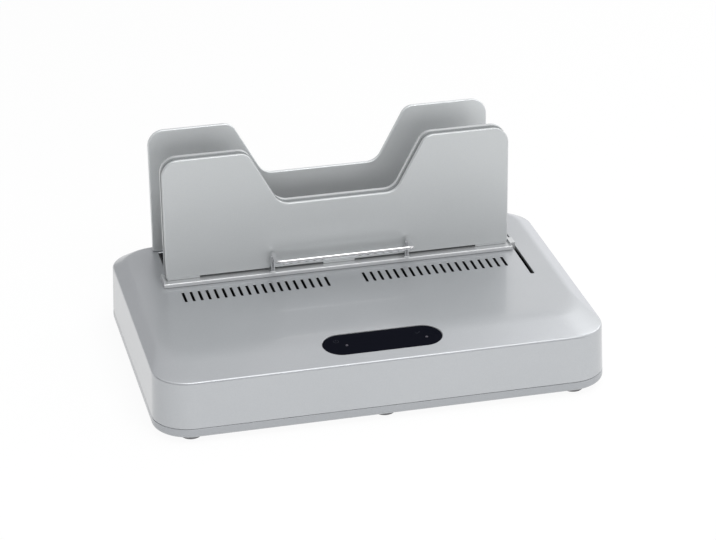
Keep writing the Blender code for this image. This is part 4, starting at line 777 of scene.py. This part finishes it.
@dataclass
class Housing:
    """The two silver mouldings, their feet and their screws.

    Attributes:
        length, depth, corner: The outline at the rim between the walls and the sloping band, and its radius.
        draft: How far the walls lean out from rim to foot.
        underside, parting, rim, deck: The heights of the floor, the joint line, the rim and the flat deck.
        band_front, band_side, band_back: The widths of the sloping band.
        crease_corner: The corner radius where the band meets the deck.
        crease_soft: The share of the band's width over which it turns into the deck.
        band_shares: Where the plain part of the band has its rings.
        rim_round, pan_round: The radii of the rim and of the lower edge.
        rim_lead, band_lead, pan_lead: How far off the directions of the wall, band and floor are taken.
        steps: Steps in each rounded corner of the outline.
        vent: The width and the length of a vent.
        well_half, slot_ends: Half of the well's length and width, and the ends of the long slot.
        foot_round, foot_dish: The radius of a foot's edge, and the radii and heights of its hollow.
    """

    length: float = 0.3974
    depth: float = 0.2747
    corner: float = 0.0315
    wall: float = 0.0025
    draft: float = 0.0019
    underside: float = 0.0052
    parting: float = 0.0136
    rim: float = 0.0565
    deck: float = 0.0615
    band_front: float = 0.0455
    band_side: float = 0.0114
    band_back: float = 0.0040
    crease_corner: float = 0.0300
    crease_soft: float = 0.28
    band_shares: tuple[float, ...] = (0.25, 0.4, 0.55)
    rim_round: float = 0.0021
    rim_lead: float = 0.01
    band_lead: float = 0.1
    pan_round: float = 0.0034
    pan_lead: float = 0.02
    steps: int = 20
    line_chamfer: float = 0.00025
    tongue_wall: float = 0.0015
    tongue_height: float = 0.0030
    tongue_root: float = 0.0010
    vent: Point = (0.0024, 0.0203)
    vent_pitch: float = 0.007225
    vent_first: float = 0.01754
    vent_middle: float = 0.01925
    vents_per_side: int = 19
    vent_lip: float = 0.00025
    well_half: Point = (0.1546, 0.0313)
    well_middle: float = 0.08735
    well_corner: float = 0.0010
    well_lip: float = 0.0004
    slot_x: float = 0.1654
    slot_width: float = 0.0034
    slot_ends: Point = (-0.01265, 0.10935)
    slot_lip: float = 0.0003
    floor_slot_half: float = 0.0015
    floor_slot_ends: Point = (0.06765, 0.10765)
    floor_slot_first: float = 0.034
    floor_slot_pitch: float = 0.008
    floor_slots_per_side: int = 8
    screws: int = 6
    screw_sink: float = 0.0052
    foot_chamfer: float = 0.0003
    foot_round: float = 0.0022
    foot_dish: tuple[Point, ...] = ((0.0042, 0.0), (0.0036, 0.0006), (0.0036, 0.0016), (0.0, 0.0016))

    @property
    def front(self) -> float:
        """Return the depth of the front rim."""
        return -self.depth / 2

    def corners(self, grow: float) -> list[Corner]:
        """Return the corners of the rim's outline, moved outwards."""
        half = self.length / 2
        return inset(rectangle(-half, half, self.front, -self.front, self.corner), -grow)

    def wall_ring(self, height: float, inward: float = 0.0) -> list[Vector]:
        """Return the wall's ring at a height, a distance inside its outer face."""
        grow = self.draft * (self.rim - height) / (self.rim - self.underside)
        return [Vector((x, y, height)) for x, y in filleted(self.corners(grow - inward), self.steps)]

    def crease_ring(self, height: float) -> list[Vector]:
        """Lay the ring where the band meets the flat deck.

        Args:
            height: The height where it is laid.

        Returns:
            The ring's points.
        """
        side = self.length / 2 - self.band_side
        near, far = self.front + self.band_front, -self.front - self.band_back
        outline = filleted(rectangle(-side, side, near, far, self.crease_corner), self.steps)
        return [Vector((x, y, height)) for x, y in outline]

    def band_point(self, outer: Vector, inner: Vector, share: float) -> Vector:
        """Return a point of the sloping band, whose rise ends in a soft crease.

        Args:
            outer: The point on its outer ring.
            inner: The point on its inner ring.
            share: How far it lies between the two.

        Returns:
            The point.
        """
        soft = self.crease_soft
        rise = share if share < 1.0 - soft else 1.0 - (1.0 + soft - share) ** 2 / (4.0 * soft)
        point = outer.lerp(inner, share)
        point.z = self.rim + (self.deck - self.rim) * rise
        return point

    def cover(self) -> bpy.types.Object:
        """Make the upper moulding, before its openings are cut.

        Returns:
            The cover.
        """
        low = self.parting + CLEARANCE
        rim, crease = self.wall_ring(self.rim), self.crease_ring(self.deck)
        lower = self.wall_ring(self.rim - self.rim_lead)
        arcs = [arc_between(below, corner, self.band_point(corner, inner, self.band_lead), self.rim_round,
                            FEW_STEPS) for below, corner, inner in zip(lower, rim, crease)]
        soft = (1.0 + self.crease_soft * step / FEW_STEPS for step in range(-FEW_STEPS, FEW_STEPS + 1))
        band = ([self.band_point(outer, inner, share) for outer, inner in zip(rim, crease)]
                for share in (*self.band_shares, *soft))
        return loft("cover_moulding", [
            self.crease_ring(self.deck - self.wall), self.wall_ring(self.rim - self.wall, self.wall),
            self.wall_ring(low, self.wall), self.wall_ring(low, self.line_chamfer),
            self.wall_ring(low + self.line_chamfer), self.wall_ring((low + self.rim) / 2),
            *zip(*arcs), *band])

    def cut_cover(self, cover: bpy.types.Object, panel: "Panel",
                  fittings: "RearFittings") -> bpy.types.Object:
        """Cut the cover's vents, well, slot, panel seat and rear holes.

        Args:
            cover: The cover.
            panel: The panel that is set in it.
            fittings: The fittings in its rear wall.

        Returns:
            The cover.
        """
        under = self.deck - self.wall - OVERRUN
        half, reach = self.vent[0] / 2, self.vent[1] / 2
        vent = rectangle(-half, half, self.vent_middle - reach, self.vent_middle + reach, half - WELD)
        vents = mirrored_row(flared("vents", vent, under, self.deck, self.vent_lip, FEW_STEPS),
                             self.vent_first, self.vent_pitch, self.vents_per_side)
        across, deep = self.well_half
        well = rectangle(-across, across, self.well_middle - deep, self.well_middle + deep, self.well_corner)
        half = self.slot_width / 2
        slot = rectangle(self.slot_x - half, self.slot_x + half, *self.slot_ends, half - WELD)
        return merge(cover, Merge.CUT, vents,
                     flared("well_hole", well, under, self.deck, self.well_lip, FEW_STEPS),
                     flared("slot_hole", slot, under, self.deck, self.slot_lip, steps=8),
                     panel.seat_cutter(), *fittings.cutters())

    def pan(self) -> bpy.types.Object:
        """Make the lower moulding, with its tongue, floor slots and screw sinks.

        Returns:
            The pan.
        """
        floor = self.underside + self.wall
        inner = self.wall_ring(self.underside, self.pan_lead)
        foot, above = self.wall_ring(self.underside), self.wall_ring(self.parting)
        arcs = [arc_between(*points, self.pan_round, steps=6) for points in zip(inner, foot, above)]
        seat = self.wall + CLEARANCE
        tongue, tip = seat + self.tongue_wall, self.parting + self.tongue_height
        made = loft("pan_moulding", [
            inner, *zip(*arcs), self.wall_ring(self.parting - self.line_chamfer),
            self.wall_ring(self.parting, self.line_chamfer), self.wall_ring(self.parting, seat),
            self.wall_ring(tip, seat), self.wall_ring(tip, tongue),
            self.wall_ring(floor + self.tongue_root, tongue),
            self.wall_ring(floor, tongue + self.tongue_root)])
        half = self.floor_slot_half
        slot = rectangle(-half, half, *self.floor_slot_ends, half - WELD)
        levels = [(0.0, self.underside - OVERRUN), (0.0, floor + OVERRUN)]
        slots = mirrored_row(stack("floor_slots", slot, levels, FEW_STEPS),
                             self.floor_slot_first, self.floor_slot_pitch, self.floor_slots_per_side)
        sinks = []
        for node in self.screw_nodes():
            low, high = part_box(node)
            middle = (low + high) / 2
            sinks.append(plug((high.x - low.x) / 2 + CLEARANCE, 0.0, self.underside + self.screw_sink,
                              middle.x, middle.y))
        return merge(made, Merge.CUT, slots, *sinks)

    def screw_nodes(self) -> list[str]:
        """Return the names of the screws' solids."""
        return [f"case_screw_{index}" for index in range(1, self.screws + 1)]

    def foot(self, node: str) -> bpy.types.Object:
        """Make the piece that stands for a foot.

        Args:
            node: The foot's solid.

        Returns:
            The foot.
        """
        low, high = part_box(node)
        middle = (low + high) / 2
        radius = (high.x - low.x) / 2
        profile = [(0.0, high.z), (radius - self.foot_chamfer, high.z), (radius, high.z - self.foot_chamfer),
                   *((radius - inward, rise) for inward, rise in quarter(self.foot_round, steps=6)),
                   *self.foot_dish]
        return lathe(f"{node}_moulded", profile, Matrix.Translation((middle.x, middle.y, 0.0)), sides=40)

    def build(self, panel: "Panel", fittings: "RearFittings") -> None:
        """Build and dress the housing.

        Args:
            panel: The panel that is set in it.
            fittings: The fittings in its rear wall.
        """
        show(self.cut_cover(self.cover(), panel, fittings), Body.HOUSING, SILVER, "top_cover")
        show(self.pan(), Body.HOUSING, PAN_SILVER, "bottom_pan")
        for node in sorted(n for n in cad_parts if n.startswith("foot_")):
            show(self.foot(node), Body.HOUSING, RUBBER, node)
        keep(STEEL, *self.screw_nodes())


@dataclass
class Plate:
    """One notched plate with the sheet that closes its rear.

    Attributes:
        prefix: The first word of its solids' names.
        body: The body that it rides on.
        low, high: The heights of its lower and upper edges.
        edge: The radius of its edges.
        half: Half of its length.
        notch_floor, notch_mouth, notch_base: The height of the notch's floor, and half of its widths.
        groove: How far behind the face the groove starts, and its width.
        pad_setback, pad_depth, pad_low, pad_rise: The place of the pads under the plate.
    """

    prefix: str
    body: Body
    low: float
    edge: float
    half: float = 0.1590
    high: float = 0.1808
    notch_floor: float = 0.1289
    notch_mouth: float = 0.08145
    notch_base: float = 0.05325
    shoulder: float = 0.0150
    foot_radius: float = 0.0016
    mouth_radius: float = 0.0125
    base_radius: float = 0.0150
    rim_wall: float = 0.0036
    groove: Point = (0.0026, 0.0062)
    groove_depth: float = 0.0014
    pad_setback: float = 0.0006
    pad_depth: float = 0.0105
    pad_low: float = 0.0656
    pad_rise: float = 0.0018
    pad_length: float = 0.0290
    steps: int = 18

    def corners(self, distance: float = 0.0) -> list[Corner]:
        """Draw the notched outline.

        Args:
            distance: How far it is inset.

        Returns:
            Its corners.
        """
        right = [(self.half, self.low, self.foot_radius), (self.half, self.high, self.shoulder),
                 (self.notch_mouth, self.high, self.mouth_radius),
                 (self.notch_base, self.notch_floor, self.base_radius)]
        left = [(-x, z, radius) for x, z, radius in reversed(right)]
        return inset([left[-1], *right, *left[:-1]], distance)

    def upright(self, name: str, corners: Sequence[Corner], front: float, rear: float) -> bpy.types.Object:
        """Return an (x, z) outline raised between two depths."""
        return prism(name, filleted(corners, self.steps), front, rear, UPRIGHT)

    def add_grip(self, plate: bpy.types.Object, face: float) -> None:
        """Cut the groove round a deep plate's edge, and add the pads under it.

        Args:
            plate: The plate.
            face: The depth of its face.
        """
        near = face + self.groove[0]
        ring = self.upright("groove", self.corners(-OVERRUN), near, near + self.groove[1])
        core = self.upright("core", self.corners(self.groove_depth), face, near + self.groove[1] + OVERRUN)
        merge(plate, Merge.CUT, merge(ring, Merge.CUT, core))
        inner = self.half - self.foot_radius
        centre = self.pad_length / 2
        near = face + self.pad_setback
        merge(plate, Merge.JOIN, *(
            box("pad", left, right, near, near + self.pad_depth, self.pad_low, self.low + self.pad_rise)
            for left, right in ((-inner, self.pad_length - inner), (-centre, centre),
                                (inner - self.pad_length, inner))))

    def build(self, deep: bool) -> None:
        """Build and dress the plate.

        Args:
            deep: Whether it has the groove and the pads.
        """
        low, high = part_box(f"{self.prefix}_plate")
        plate = self.upright(f"{self.prefix}_plate_moulding", self.corners(), low.y, high.y)
        sheet_low, sheet_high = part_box(f"{self.prefix}_plate_liner")
        recess = self.upright("recess", self.corners(self.rim_wall), sheet_low.y - CLEARANCE,
                              high.y + OVERRUN)
        merge(soften(plate, self.edge, FEW_STEPS), Merge.CUT, recess)
        if deep:
            self.add_grip(plate, low.y)
        show(plate, self.body, PLATE_SILVER if deep else REAR_SILVER_PAINTED_LIGHT, f"{self.prefix}_plate")
        outline = self.corners(self.rim_wall + CLEARANCE)
        sheet = self.upright(f"{self.prefix}_plate_sheet", outline, sheet_low.y, sheet_high.y)
        show(soften(sheet, FINE_EDGE, 2), self.body, LINER_STEEL, f"{self.prefix}_plate_liner")


@dataclass
class FootStrip:
    """A plate's foot strip: the rear one is screwed down, and the front one slides.

    Attributes:
        node: The solid that it stands for.
        body: The body that it rides on.
        front, rear: The depths of its long edges.
        round_front: Whether the rounded upper edge is the front one.
        half: Half of its length.
        lipped: Whether it has a lip at each end.
        low, top: The heights of its faces.
        lip_overlap: How far the lips reach into it.
    """

    node: str
    body: Body
    front: float
    rear: float
    round_front: bool
    half: float
    lipped: bool
    low: float = 0.0618
    top: float = 0.0653
    edge: float = 0.0012
    crisp: float = 0.0002
    lip_wall: float = 0.0016
    lip_height: float = 0.0024
    lip_setback: float = 0.0022
    lip_overlap: float = 0.0029

    def base(self) -> bpy.types.Object:
        """Make the strip, with its end lips where it has them.

        Returns:
            The strip.
        """
        back, front = (self.crisp, self.edge) if self.round_front else (self.edge, self.crisp)
        section = [(self.front, self.low, self.crisp), (self.rear, self.low, self.crisp),
                   (self.rear, self.top, back), (self.front, self.top, front)]
        outline = filleted(section, FEW_STEPS)
        strip = prism(f"{self.node}_moulding", outline, -self.half, self.half, ALONG_X)
        if not self.lipped:
            return strip
        near, far = self.front + self.lip_setback, self.rear - self.lip_setback
        low, high = self.top - self.lip_overlap, self.top + self.lip_height
        return merge(strip, Merge.JOIN, *(box("lip", left, left + self.lip_wall, near, far, low, high)
                                          for left in (-self.half, self.half - self.lip_wall)))

    def build(self, extras: Callable[[bpy.types.Object], bpy.types.Object] = lambda strip: strip) -> None:
        """Build and dress the strip, with what the extras add to it."""
        show(soften(extras(self.base()), FINE_EDGE, 2), self.body, STRIP_SILVER_PAINTED_LIGHT, self.node)


@dataclass
class Carriage:
    """What slides with the front plate: the fin on its strip, the bail and the shoe.

    Attributes:
        face: The depth of the front plate's face.
        strip_reach: How far its strip reaches before and behind that face.
        fin_x, fin_wall: The middle of the fin and its thickness.
        fin_front, fin_rear, fin_low: The fin's depths and the height of its foot.
        ear_left, ear_low: Where the ear under the plate's corner starts.
        wire: The radius of the bail's wire.
        leg_x, leg_y, leg_foot: Where the bail's legs stand, and how far they reach into the strip.
        bar_y, bar_z: The place of its bar.
        collar: The radius of a socket's collar and its height over the strip.
    """

    face: float = 0.04735
    strip_reach: Point = (0.0068, 0.0140)
    strip_half: float = 0.1620
    strip_top: float = 0.0653
    fin_x: float = 0.1654
    fin_wall: float = 0.0026
    fin_front: float = 0.04835
    fin_rear: float = 0.06035
    fin_low: float = 0.0412
    ear_left: float = 0.1604
    ear_low: float = 0.0618
    overlap: float = 0.0006
    wire: float = 0.0020
    leg_x: float = 0.06225
    leg_y: float = 0.04345
    leg_foot: float = 0.0019
    bar_y: float = 0.01975
    bar_z: float = 0.0847
    crown: float = 0.0050
    bend: float = 0.0042
    collar: Point = (0.0029, 0.0012)
    collar_chamfer: float = 0.0004
    bore_floor: float = 0.0631

    def add_fin(self, strip: bpy.types.Object) -> bpy.types.Object:
        """Add the ear, the fin and the collars of the bail.

        Args:
            strip: The strip that they are added to.

        Returns:
            The strip.
        """
        outer, top, under = self.fin_x + self.fin_wall / 2, self.strip_top, self.strip_top - self.overlap
        radius, chamfer, high = self.collar[0], self.collar_chamfer, top + self.collar[1]
        profile = [(0.0, under), (radius, under), (radius, high - chamfer), (radius - chamfer, high),
                   (0.0, high)]
        legs = (-self.leg_x, self.leg_x)
        merge(strip, Merge.JOIN,
              box("ear", self.ear_left, outer, self.fin_front, self.fin_rear, self.ear_low, top),
              box("fin", outer - self.fin_wall, outer, self.fin_front, self.fin_rear, self.fin_low, under),
              *(lathe("collar", profile, Matrix.Translation((x, self.leg_y, 0.0)), sides=32) for x in legs))
        return merge(strip, Merge.CUT, *(
            plug(self.wire + CLEARANCE, self.bore_floor, high + OVERRUN, x, self.leg_y) for x in legs))

    def bail(self) -> bpy.types.Object:
        """Bend the wire bail.

        Returns:
            The bail.
        """
        foot = self.strip_top - self.leg_foot
        half = [(self.leg_x, self.bar_y, self.bar_z), (self.leg_x, self.leg_y, self.bar_z),
                (self.leg_x, self.leg_y, foot)]
        points = [Vector((-x, y, z)) for x, y, z in reversed(half)] + [Vector(point) for point in half]
        path = bent_path(points, [self.crown, self.bend, self.bend, self.crown], steps=12)
        return tube("bail_wire", path, self.wire, ROUND_SIDES)

    def build(self) -> None:
        """Build and dress the sliding pieces."""
        front, rear = self.face - self.strip_reach[0], self.face + self.strip_reach[1]
        strip = FootStrip("front_carriage", Body.CARRIAGE, front, rear, round_front=True,
                          half=self.strip_half, lipped=True)
        strip.build(self.add_fin)
        show(self.bail(), Body.CARRIAGE, CHROME, "pull_bail")
        keep(BLACK, "slide_shoe")


@dataclass
class Panel:
    """The dark panel in the front band, with its two lights and its printed signs.

    Attributes:
        housing: The housing that it is set in.
        half_length, half_width: Half of the panel's length and width.
        setback: How far behind the front rim its middle lies.
        offset: How far right of the middle it lies.
        sink: How far it lies under the band.
        tilt_share: How far it follows the band's slope.
        edge, lip: The radius of its edge, and the width of its seat's bright lip.
        lights: The places of the two lights on it.
        light_rise: How far their tops stand over its face.
        standby, tick: The places of the two signs on it.
        ring_radius, ring_arc: The standby ring's radius, and its first angle and turn in degrees.
        bar, arms: The ends of the standby bar over its place, and of the tick's two arms round its own.
        line, ink: The width and the height of the printed lines.
    """

    housing: Housing
    half_length: float = 0.0525
    half_width: float = 0.01665
    setback: float = 0.03265
    offset: float = 0.0030
    sink: float = 0.0009
    tilt_share: float = 0.85
    depth: float = 0.0036
    edge: float = 0.0005
    lip: float = 0.0005
    steps: int = 24
    seat_depth: float = 0.02
    hole_depth: float = 0.008
    light_radius: float = 0.0013
    light_length: float = 0.0112
    light_rise: float = 0.0002
    light_edge: float = 0.0003
    light_dome: float = 0.0001
    lights: tuple[Point, Point] = ((-0.0317, -0.0010), (0.0387, -0.0023))
    standby: Point = (-0.0395, 0.0066)
    tick: Point = (0.0328, 0.0059)
    ring_radius: float = 0.0022
    ring_arc: Point = (125.0, 290.0)
    bar: Point = (0.0004, 0.0030)
    arms: tuple[tuple[float, ...], ...] = ((-0.0022, 0.0002, -0.0006, -0.0016),
                                           (-0.0008, -0.0016, 0.0024, 0.0018))
    line: float = 0.0005
    ink: float = 0.00003
    ink_root: float = 0.0002

    def frame(self) -> Matrix:
        """Work out how a level shape is laid on the band.

        Returns:
            The matrix that lays it there.
        """
        house = self.housing
        rise = house.deck - house.rim
        tilt = self.tilt_share * math.atan2(rise, house.band_front)
        height = house.rim + rise * self.setback / house.band_front
        place = Matrix.Translation((self.offset, house.front + self.setback, height))
        return place @ Matrix.Rotation(tilt, 4, "X")

    def corners(self, grow: float) -> list[Corner]:
        """Return the corners of the panel's outline, grown."""
        long, wide = self.half_length, self.half_width
        return inset(rectangle(-long, long, -wide, wide, wide - WELD), -grow)

    def seat_cutter(self) -> bpy.types.Object:
        """Make the cutter of the panel's seat, with its bright lip.

        Returns:
            The cutter.
        """
        cutter = flared("panel_hole", self.corners(CLEARANCE), -self.seat_depth, 0.0, self.lip, self.steps)
        cutter.data.transform(self.frame())
        return cutter

    def printed(self, name: str, outline: Sequence[Point]) -> bpy.types.Object:
        """Return an outline as print on the panel's level face."""
        return prism(name, outline, -self.sink - self.ink_root, -self.sink + self.ink)

    def ring(self, x: float, y: float) -> bpy.types.Object:
        """Print the open ring of the standby sign.

        Args:
            x, y: The ring's middle on the panel.

        Returns:
            The ring.
        """
        start, turn = self.ring_arc
        angles = [math.radians(start + turn * k / self.steps) for k in range(self.steps + 1)]
        outer, inner = ([(x + radius * math.cos(a), y + radius * math.sin(a)) for a in angles]
                        for radius in (self.ring_radius + self.line / 2, self.ring_radius - self.line / 2))
        return self.printed("sign_standby", outer + inner[::-1])

    def stroke(self, name: str, first: Point, last: Point) -> bpy.types.Object:
        """Print a straight line.

        Args:
            name: The object's name.
            first, last: The line's ends on the panel.

        Returns:
            The line.
        """
        start, end = Vector(first), Vector(last)
        side = (end - start).orthogonal().normalized() * self.line / 2
        return self.printed(name, [start - side, end - side, end + side, start + side])

    def signs(self) -> tuple[bpy.types.Object, bpy.types.Object]:
        """Print the two faint signs, standby on the left and a tick on the right.

        Returns:
            The two signs, level.
        """
        x, y = self.standby
        low, high = self.bar
        standby = merge(self.ring(x, y), Merge.JOIN, self.stroke("bar", (x, y + low), (x, y + high)))
        x, y = self.tick
        tick, arm = (self.stroke("sign_ready", (x + a, y + b), (x + c, y + d)) for a, b, c, d in self.arms)
        return standby, merge(tick, Merge.JOIN, arm)

    def build(self) -> None:
        """Build and dress the panel."""
        levels = [(0.0, -self.depth)]
        levels += [(inward, -self.sink - drop) for inward, drop in quarter(self.edge, FEW_STEPS)]
        lens = stack("panel_gloss_lens", self.corners(0.0), levels, self.steps)
        radius = self.light_radius
        holes = [plug(radius + CLEARANCE, -self.hole_depth, OVERRUN, x, y) for x, y in self.lights]
        merge(lens, Merge.CUT, *holes)
        lens.data.transform(self.frame())
        show(lens, Body.HOUSING, LENS, "panel_lens")
        top, edge = -self.sink + self.light_rise, self.light_edge
        profile = [(0.0, top - self.light_length), (radius, top - self.light_length), (radius, top - edge),
                   (radius - edge, top), (0.0, top + self.light_dome)]
        for (x, y), side in zip(self.lights, ("left", "right")):
            place = self.frame() @ Matrix.Translation((x, y, 0.0))
            light = lathe(f"light_pipe_{side}", profile, place, ROUND_SIDES)
            show(light, Body.HOUSING, GLOW_WARM, f"indicator_{side}")
        for sign in self.signs():
            sign.data.transform(self.frame())
            show(sign, Body.HOUSING, PRINT)


@dataclass
class RearFittings:
    """The mains inlet and the rocker switch in the rear wall.

    Attributes:
        nodes: The solids that are set in the wall.
        wall_front, wall_rear: The depths between which their holes are cut.
        flange: How far each one's rim laps over its hole.
    """

    nodes: tuple[str, ...] = ("power_inlet", "switch_frame")
    wall_front: float = 0.1300
    wall_rear: float = 0.1420
    flange: float = 0.0020

    def cutters(self) -> Iterable[bpy.types.Object]:
        """Make the cutters of the holes in the rear wall.

        Yields:
            Each cutter.
        """
        lap = self.flange - CLEARANCE
        for low, high in map(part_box, self.nodes):
            yield box("hole", low.x + lap, high.x - lap, self.wall_front, self.wall_rear,
                      low.z + lap, high.z - lap)

    def build(self) -> None:
        """Dress the fittings."""
        keep(BLACK, *self.nodes, "switch_rocker")
        keep(BRASS, "inlet_pin_line", "inlet_pin_earth", "inlet_pin_neutral")


@dataclass
class Inside:
    """The pieces inside the housing, which keep their solids."""

    leads: str = "lead_"

    def build(self) -> None:
        """Dress every solid inside."""
        keep(BLACK, "well_liner", "start_switch", "start_pin", "thermostat", "power_relay")
        keep(ALUMINIUM, "heater_plate", "power_capacitor", "heat_sink")
        keep(STEEL, "heater_tray", "thermal_fuse", "rod_bracket_front", "rod_bracket_rear")
        keep(BOARD, "control_board", "power_board")
        keep(MICA, "heating_element")
        keep(FELT, "heater_insulation")
        keep(CHROME, "guide_rod")
        keep(LEAD, *sorted(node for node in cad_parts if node.startswith(self.leads)))


@dataclass
class Studio:
    """The pale floor, the soft lamps, the white background and the camera.

    Attributes:
        eye: Where the camera stands.
        yaw, pitch, roll: How it is turned, in degrees.
        lens, sensor: Its focal length and its film's width, in millimetres.
        clip: The nearest and the farthest point that it sees.
        floor_drop: How far under the feet the floor lies.
        floor_tone, floor_white: The floor's tone, and how much of it is plain white where it is seen.
        card_distance, card_steps: How far away the cards stand, and the steps in their curve.
        card_blue: How much bluer than grey they are.
        ambient: The strength of the light from all round.
        aim: What the lamps face.
    """

    eye: Corner = (-0.4876, -2.1357, 1.1039)
    yaw: float = 13.0265
    pitch: float = 25.0747
    roll: float = 0.829
    lens: float = 136.47
    sensor: float = 36.0
    clip: Point = (0.05, 50.0)
    floor_radius: float = 6.0
    floor_sides: int = 64
    floor_drop: float = 0.0002
    floor_tone: float = 0.86
    floor_white: float = 0.93
    card_distance: float = 2.4
    card_steps: int = 12
    card_blue: float = 1.03
    ambient: float = 0.55
    aim: Corner = (0.0, 0.0, 0.06)

    def camera(self) -> None:
        """Make the camera at the photograph's view."""
        yaw, pitch, roll = (math.radians(a) for a in (self.yaw, self.pitch, self.roll))
        ahead = Vector((math.sin(yaw) * math.cos(pitch), math.cos(yaw) * math.cos(pitch), -math.sin(pitch)))
        right = Vector((math.cos(yaw), -math.sin(yaw), 0.0))
        down = ahead.cross(right)
        across = right * math.cos(roll) + down * math.sin(roll)
        up = right * math.sin(roll) - down * math.cos(roll)
        data = bpy.data.cameras.new("photo_camera")
        data.lens, data.sensor_width = self.lens, self.sensor
        data.clip_start, data.clip_end = self.clip
        camera = link("photo_camera", data)
        turn = Matrix((across, up, -ahead)).transposed()
        camera.matrix_world = Matrix.Translation(self.eye) @ turn.to_4x4()
        bpy.context.scene.camera = camera

    @staticmethod
    def seen(sheet: NodeSheet) -> Socket:
        """Return 1 for a ray that the camera, a gloss or a clear surface sends."""
        rays = [sheet.node("ShaderNodeLightPath", output=f"Is {kind} Ray")
                for kind in ("Camera", "Glossy", "Transmission")]
        return rays[0].at_least(rays[1]).at_least(rays[2])

    @staticmethod
    def stage(name: str, shape: bmesh.types.BMesh) -> tuple[bpy.types.Object, NodeSheet]:
        """Put a staging piece into the scene, with a new material.

        Args:
            name: The name of the piece and of its material.
            shape: Its shape.

        Returns:
            The piece and the material's node tree.
        """
        piece = object_of(name, shape)
        material = bpy.data.materials.new(name)
        piece.data.materials.append(material)
        return piece, NodeSheet(material)

    def world(self) -> None:
        """Make the white background and the even light from all round."""
        world = bpy.data.worlds.new("studio")
        bpy.context.scene.world = world
        sheet = NodeSheet(world)
        strength = self.seen(sheet) * (1.0 - self.ambient) + self.ambient
        light = sheet.node("ShaderNodeBackground", {}, {"Color": WHITE, "Strength": strength})
        sheet.node("ShaderNodeOutputWorld", {}, {"Surface": light})

    def floor(self) -> None:
        """Make the pale floor."""
        shape = bmesh.new()
        bmesh.ops.create_circle(shape, cap_ends=True, segments=self.floor_sides, radius=self.floor_radius)
        floor, sheet = self.stage("studio_floor", shape)
        floor.location.z = -self.floor_drop
        grey = (self.floor_tone, self.floor_tone, self.floor_tone, 1.0)
        plain = sheet.node("ShaderNodeBsdfDiffuse", {}, {"Color": grey})
        white = sheet.node("ShaderNodeEmission", {}, {"Color": WHITE, "Strength": 1.0})
        share = self.seen(sheet) * self.floor_white
        mixed = sheet.node("ShaderNodeMixShader", {}, {0: share, 1: plain, 2: white})
        sheet.node("ShaderNodeOutputMaterial", {}, {"Surface": mixed})

    def lamp(self, name: str, eye: Corner, size: Point, power: float, mirrored: bool = True) -> None:
        """Add a soft lamp that faces the object.

        Args:
            name: The lamp's name.
            eye: Where it stands.
            size: Its width and height.
            power: Its power in watts.
            mirrored: Whether glossy faces mirror it.
        """
        data = bpy.data.lights.new(name, "AREA")
        data.shape = "RECTANGLE"
        data.size, data.size_y = size
        data.energy = power
        lamp = link(name, data)
        lamp.location = eye
        lamp.rotation_mode = "QUATERNION"
        lamp.rotation_quaternion = (Vector(self.aim) - Vector(eye)).to_track_quat("-Z", "Y")
        lamp.visible_camera = False
        lamp.visible_glossy = mirrored

    def card(self, name: str, azimuths: Point, heights: Point, tone: float, lights: bool = True) -> None:
        """Add an upright card round the object that the camera doesn't see.

        Args:
            name: The card's name.
            azimuths: Where it starts and ends, in degrees to the right of straight back.
            heights: Its lower and upper edge, in metres.
            tone: How light it is.
            lights: Whether plain faces see it too, not only glossy ones.
        """
        first, last = (math.radians(a) for a in azimuths)
        shape = bmesh.new()
        rows = []
        for step in range(self.card_steps + 1):
            angle = first + (last - first) * step / self.card_steps
            x, y = self.card_distance * math.sin(angle), self.card_distance * math.cos(angle)
            rows.append([shape.verts.new((x, y, z)) for z in heights])
        for here, there in zip(rows, rows[1:]):
            shape.faces.new((here[0], there[0], there[1], here[1]))
        card, sheet = self.stage(name, shape)
        card.visible_camera = card.visible_shadow = False
        card.visible_diffuse = lights
        colour = (tone, tone, tone * self.card_blue, 1.0)
        light = sheet.node("ShaderNodeEmission", {}, {"Color": colour, "Strength": 1.0})
        sheet.node("ShaderNodeOutputMaterial", {}, {"Surface": light})

    def build(self) -> None:
        """Build the studio."""
        self.camera()
        self.world()
        self.floor()
        self.card("card_back_left", (-60.0, 7.0), (0.5, 2.2), 0.50)
        self.card("card_front", (125.0, 240.0), (0.02, 3.2), 0.34, lights=False)
        self.card("card_right", (18.0, 60.0), (0.03, 0.75), 1.2, lights=False)
        self.card("card_left", (-125.0, -62.0), (0.1, 1.6), 0.20)
        self.card("card_back", (7.0, 27.0), (1.5, 2.5), 0.58)
        self.lamp("soft_top", (0.1, -0.2, 1.6), (1.2, 0.9), 9.0)
        self.lamp("soft_right", (1.3, 0.9, 1.1), (0.7, 0.7), 5.0)
        self.lamp("soft_back_right", (1.5, 2.3, 2.5), (0.6, 0.5), 5.5)
        self.lamp("front_fill", (0.1, -2.2, 0.55), (1.6, 0.6), 24.0, mirrored=False)
        self.lamp("high_fill", (0.25, -1.0, 1.5), (0.8, 0.6), 10.0, mirrored=False)
        bpy.context.scene.view_settings.view_transform = "Standard"


def main() -> None:
    """Build every sub-assembly in order, then the studio."""
    logging.basicConfig(level=logging.INFO, format="%(message)s")
    housing = Housing()
    panel = Panel(housing)
    fittings = RearFittings()
    housing.build(panel, fittings)
    Plate("front", Body.CARRIAGE, low=0.0671, edge=0.0014).build(deep=True)
    Plate("rear", Body.HOUSING, low=0.0618, edge=0.0010).build(deep=False)
    FootStrip("rear_foot_strip", Body.HOUSING, front=0.12575, rear=0.13225, round_front=False, half=0.1578,
              lipped=False).build()
    Carriage().build()
    panel.build()
    fittings.build()
    Inside().build()
    Studio().build()


if __name__ == "__main__":
    main()
